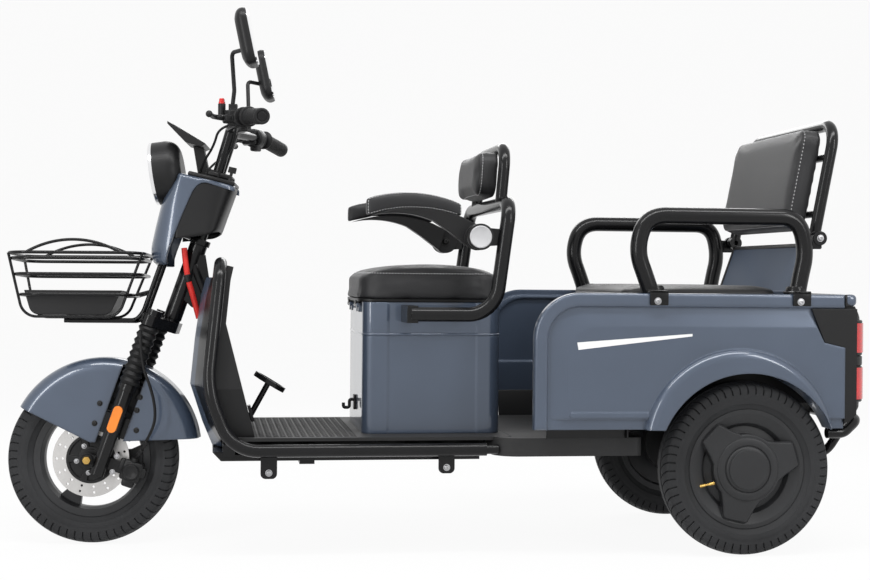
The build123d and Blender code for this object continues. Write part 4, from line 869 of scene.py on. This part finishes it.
# Headlight: a black shell with a bright rim, a clear lens and a silvered bowl behind it.
# The shell is moulded, and the rim is snapped over its edge.
clear_lens = coat("clear_lens", (0.92, 0.94, 0.96), 0.05, drift=0.02, peel=90.0, depth=0.0003, strength=0.15,
                  Transmission_Weight=1.0, IOR=1.45)
dress(clear_lens, "headlight_lens")
bright = coat("bright_trim", (0.80, 0.80, 0.81), 0.16, drift=0.05, Metallic=1.0)
lamp_frame = steered @ moved((0.676, 0, 0.900)) @ tilted(98, "Y")
rim_work = bmesh.new()
lathe(rim_work, ((0.0690, -0.004), (0.0690, 0.0008), (0.0715, 0.0024), (0.0750, 0.0024), (0.0772, 0.0005),
                 (0.0772, -0.006), (0.0768, -0.006)), lamp_frame, 64)
piece("lamp_rim", rim_work, bright, "steering")
bowl_work = bmesh.new()
lathe(bowl_work, ((0.0685, -0.0158), (0.0660, -0.0120), (0.0560, -0.0095), (0.0430, -0.0118),
                  (0.0250, -0.0150), (0.0150, -0.0150), (0.0130, -0.0080), (0.0080, -0.0052), (0, -0.0045)),
      lamp_frame, 48)
piece("lamp_bowl", bowl_work, bright, "steering")

# Fairing: a painted nose moulding wraps the head tube and runs back over black side covers. Both are
# injection moulded and screwed from behind, and a black lid with the display closes the top.


def between(rows, at):
    """Value at a place in a table of (place, value) rows."""
    for (a, low), (b, high) in zip(rows, rows[1:]):
        if at <= b:
            return low + (high - low) * max(0.0, (at - a) / (b - a))
    return rows[-1][1]


nose_front = ((0.674, 0.6640), (0.682, 0.6735), (0.700, 0.6785), (0.720, 0.6790), (0.770, 0.6685),
              (0.820, 0.6565), (0.850, 0.6440), (0.872, 0.6300), (0.888, 0.6140), (0.898, 0.6040))
paint_low = ((0.470, 0.8530), (0.540, 0.8740), (0.552, 0.8730), (0.562, 0.8665), (0.5716, 0.8540),
             (0.579, 0.8380), (0.586, 0.8215), (0.600, 0.7880), (0.6147, 0.7530), (0.641, 0.6745),
             (0.700, 0.6745))
cover_low = ((0.470, 0.7640), (0.512, 0.7520), (0.530, 0.7470), (0.615, 0.7380))
cover_rear = ((0.738, 0.5200), (0.764, 0.5080), (0.856, 0.4745), (0.868, 0.4725), (0.900, 0.4745))
rear_half = ((0.472, 0.0540), (0.486, 0.0640), (0.505, 0.0705), (0.530, 0.0740), (0.600, 0.0740))


def nose_point(turn, z):
    """Point of the painted nose: turn runs from 0 at the front to 1 at the side and 2 at the rear edge."""
    if turn <= 1:
        angle = turn * pi / 2
        return (0.600 + (between(nose_front, z) - 0.600) * max(0.0, cos(angle)) ** 0.77,
                0.074 * sin(angle) ** 0.77)
    x = 0.600 - (turn - 1) * 0.128
    return x, between(rear_half, x)


def cover_point(turn, z):
    """Point of the black cover: turn runs from 0 behind the tube to 1 at the side and 2 under the nose."""
    if turn <= 1:
        angle = turn * pi / 2
        return (0.540 - (0.540 - between(cover_rear, z)) * max(0.0, cos(angle)) ** 0.6,
                0.0718 * sin(angle) ** 0.6)
    return 0.540 + (turn - 1) * 0.074, 0.0718


def moulded_wall(name, columns, stuff):
    """A wall of columns of points in the straight-ahead frame, three millimetres thick."""
    work = bmesh.new()
    stands = [[work.verts.new(steered @ Vector(spot)) for spot in column] for column in columns]
    for left, right in zip(stands, stands[1:]):
        for k in range(len(left) - 1):
            work.faces.new((left[k], right[k], right[k + 1], left[k + 1]))
    made = piece(name, work, stuff, "steering", 50)
    wall = made.modifiers.new("wall", "SOLIDIFY")
    wall.thickness = 0.003
    settle(made, baked(made))
    return made


turns = [k / 18 for k in range(18)] + [1 + k / 24 for k in range(25)]
columns = []
for turn, s in [(t, 1) for t in reversed(turns)] + [(t, -1) for t in turns[1:]]:
    middle = nose_point(turn, 0.720)[0]
    low = between(paint_low, middle)
    high = 0.897 if turn <= 1 else 0.897 - (0.600 - middle) * 0.235
    roll = min(0.012, (high - low) * 0.6)
    heights = [low + (high - roll - low) * k / 20 for k in range(20)]
    column = []
    for z in heights:
        x, y = nose_point(turn, z)
        column.append((x, s * y, z))
    for k in range(7):
        angle = k * pi / 12
        x, y = nose_point(turn, high - roll)
        pull = roll * (1 - cos(angle))
        ahead = max(0.0, 1 - turn)
        column.append((x - pull * ahead, s * max(0.0, y - pull * min(1.0, turn)),
                       high - roll + roll * sin(angle)))
    columns.append(column)
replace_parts(moulded_wall("fairing_nose", columns, slate_blue), "fairing_shell")
turns = [k / 12 for k in range(12)] + [1 + k / 12 for k in range(13)]
columns = []
for turn, s in [(t, 1) for t in reversed(turns)] + [(t, -1) for t in turns[1:]]:
    middle = cover_point(turn, 0.800)[0]
    low = between(cover_low, middle)
    high = between(paint_low, middle) + 0.004
    column = []
    for k in range(15):
        z = low + (high - low) * k / 14
        x, y = cover_point(turn, z)
        column.append((x, s * y, z))
    columns.append(column)
side_cover = moulded_wall("fairing_side_cover", columns, satin_black)
work = bmesh.new()
lid_lean = tilted(-13.2, "Y")
case(work, steered @ moved((0.5300, 0.0, 0.8855)) @ lid_lean, (0.116, 0.116, 0.012), 0.0045)
case(work, steered @ moved((0.5120, 0.0, 0.8950)) @ lid_lean, (0.062, 0.078, 0.014), 0.005)
piece("fairing_lid", work, satin_black, "steering")
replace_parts(side_cover, "fairing_cover")
work = bmesh.new()
lathe(work, ((0.0100, -0.004), (0.0100, 0.004), (0.0085, 0.0055), (0.0050, 0.0055), (0.0050, 0.0040),
             (0, 0.0040)), steered @ moved((0.4860, 0.030, 0.8830)) @ lid_lean, 28)
case(work, steered @ moved((0.4850, 0.030, 0.8945)) @ lid_lean, (0.0075, 0.0020, 0.016), 0.0008, 2)
case(work, steered @ moved((0.4815, 0.030, 0.9085)) @ lid_lean, (0.0200, 0.0030, 0.015), 0.0014, 2)
piece("ignition_key", work, black_screws, "steering")

# Display: a black case with a dark glass panel that faces the rider.
# It stands on the lid, and the glass is set flush in the case.
screen_glass = coat("screen_glass", (0.006, 0.007, 0.009), 0.07, drift=0.05, Coat_Weight=0.5)
work = bmesh.new()
case(work, fork_frame @ moved((0.108, 0.0, 0.3545)) @ tilted(-11.7, "Y"), (0.092, 0.098, 0.0022), 0.001, 2)
piece("display_glass", work, screen_glass, "steering")

# Mirrors: silvered glass in black moulded shells, on bent steel stems.
# Each stem screws into its switch housing.
silver = coat("mirror_silver", (0.90, 0.90, 0.91), 0.03, drift=0.02, Metallic=1.0, strength=0.0)
dress(silver, "mirror_glass")

# Grips: soft black rubber sleeves with fine ribs, a flange at the inner end and a hollow at the outer end.
# They are pushed over the bar's ends.
grip_start = Vector((0.4256, 0.2165, 1.0145))
grip_end = Vector((0.386, 0.320, 1.001))
grip_length = (grip_end - grip_start).length
grip_rows = [(0.0112, -0.001), (0.0232, 0.0), (0.0240, 0.0015), (0.0232, 0.0042), (0.0190, 0.0055)]
for k in range(19):
    grip_rows += [(0.0188, 0.0065 + 0.0050 * k), (0.0188, 0.0090 + 0.0050 * k), (0.0179, 0.0097 + 0.0050 * k),
                  (0.0179, 0.0108 + 0.0050 * k)]
grip_rows += [(0.0190, grip_length - 0.006), (0.0188, grip_length - 0.002), (0.0172, grip_length),
              (0.0130, grip_length), (0.0122, grip_length - 0.0012), (0.0040, grip_length - 0.0012),
              (0.0036, grip_length - 0.004), (0, grip_length - 0.004)]
work = bmesh.new()
for s in (1, -1):
    foot = Vector((grip_start.x, s * grip_start.y, grip_start.z))
    tip = Vector((grip_end.x, s * grip_end.y, grip_end.z))
    lathe(work, grip_rows, aim(steered @ foot, turned @ (tip - foot)), 40)
ribbed_grips = piece("ribbed_grips", work, bellows_rubber, "steering", 60)
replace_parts(ribbed_grips, "grips")

# Switches: a two-part housing beside each grip, split by a seam and clamped with screws, with a red
# push button on the left and a throttle cover on the right.
work = bmesh.new()
for s in (1, -1):
    bar_dir = turned @ Vector((-0.055, s * 0.145, 0.006))
    spot = steered @ Vector((0.4440, s * 0.187, 1.0145))
    house = aim(spot, bar_dir)
    lathe(work, ((0.0115, -0.0190), (0.0225, -0.0190), (0.0240, -0.0170), (0.0240, -0.0012),
                 (0.0230, -0.0006), (0.0230, 0.0006), (0.0240, 0.0012), (0.0240, 0.0170), (0.0225, 0.0190),
                 (0.0115, 0.0190)), house, 36)
    case(work, house @ moved((0.0, -0.024, 0.0)), (0.020, 0.018, 0.030), 0.004)
    lever_foot = steered @ Vector((0.4760, s * 0.186, 1.0130))
    case(work, aim(lever_foot, bar_dir), (0.024, 0.020, 0.030), 0.005)
piece("switch_housings", work, satin_black, "steering")
button_red = coat("button_red", (0.62, 0.012, 0.010), 0.3, drift=0.08)
work = bmesh.new()
lathe(work, ((0.0078, 0.0), (0.0078, 0.0055), (0.0066, 0.0060), (0.0066, 0.0115), (0.0052, 0.0135),
             (0, 0.0140)), moved(steered @ Vector((0.494, 0.166, 1.0505))), 28)
piece("push_button", work, button_red, "steering")

# Control cables: black sleeved wires from the levers down into the fairing lid, in easy bends.
# Steel wire in a rubber-covered spiral, clipped at both ends.
cable_routes = {"cable_left": (((0.474, 0.140, 1.005), (0.505, 0.128, 1.000), (0.520, 0.092, 0.960),
                                (0.552, 0.044, 0.925), (0.561, 0.030, 0.896)), 0.184),
                "cable_right": (((0.474, -0.140, 1.005), (0.502, -0.126, 0.996), (0.512, -0.080, 0.955),
                                 (0.545, -0.030, 0.922), (0.556, -0.014, 0.896)), 0.190),
                "cable_back": (((0.462, 0.150, 0.998), (0.470, 0.110, 0.960), (0.500, 0.060, 0.930),
                                (0.515, 0.048, 0.885)), 0.166)}
for name, (route, length) in cable_routes.items():
    spots = [steered @ Vector(spot) for spot in route]
    cable = flowing(name, spots, 0.003)
    cable.data.materials.append(bellows_rubber)
    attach(cable, "steering")

# Wiring sleeve: red woven sleeve from the head tube into the leg shield, over the main wires.
# A black band ties it near its middle.
sleeve_red = coat("red_sleeve", (0.58, 0.016, 0.010), 0.55, drift=0.15, peel=900.0, depth=0.0004,
                  strength=0.5)
harness_route = ((0.5997, 0.034, 0.718), (0.594, 0.042, 0.655), (0.576, 0.044, 0.598), (0.563, 0.040, 0.548))
harness = flowing("wiring_sleeve", harness_route, 0.007)
harness.data.materials.append(sleeve_red)
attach(harness, "chassis")
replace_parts(harness, "wire_harness")
work = bmesh.new()
lathe(work, ((0.0070, -0.009), (0.0082, -0.008), (0.0082, 0.008), (0.0070, 0.009)),
      aim((0.5905, 0.0428, 0.6445), (-0.28, 0.02, -1.0)), 28)
band = piece("sleeve_band", work, satin_black, "chassis")

# Frame lugs: short steel ears welded under the deck rails, each with a zinc screw through it.
# The ears are cut from plate and welded on before the frame is coated.
lug_face = 0.2635
frame_spots = [((x, s * lug_face, z), (0, s, 0)) for x, z in ((0.399, 0.198), (-0.016, 0.207))
               for s in (1, -1)]
bolts("lug_screws", frame_spots, 0.006, zinc, "chassis")
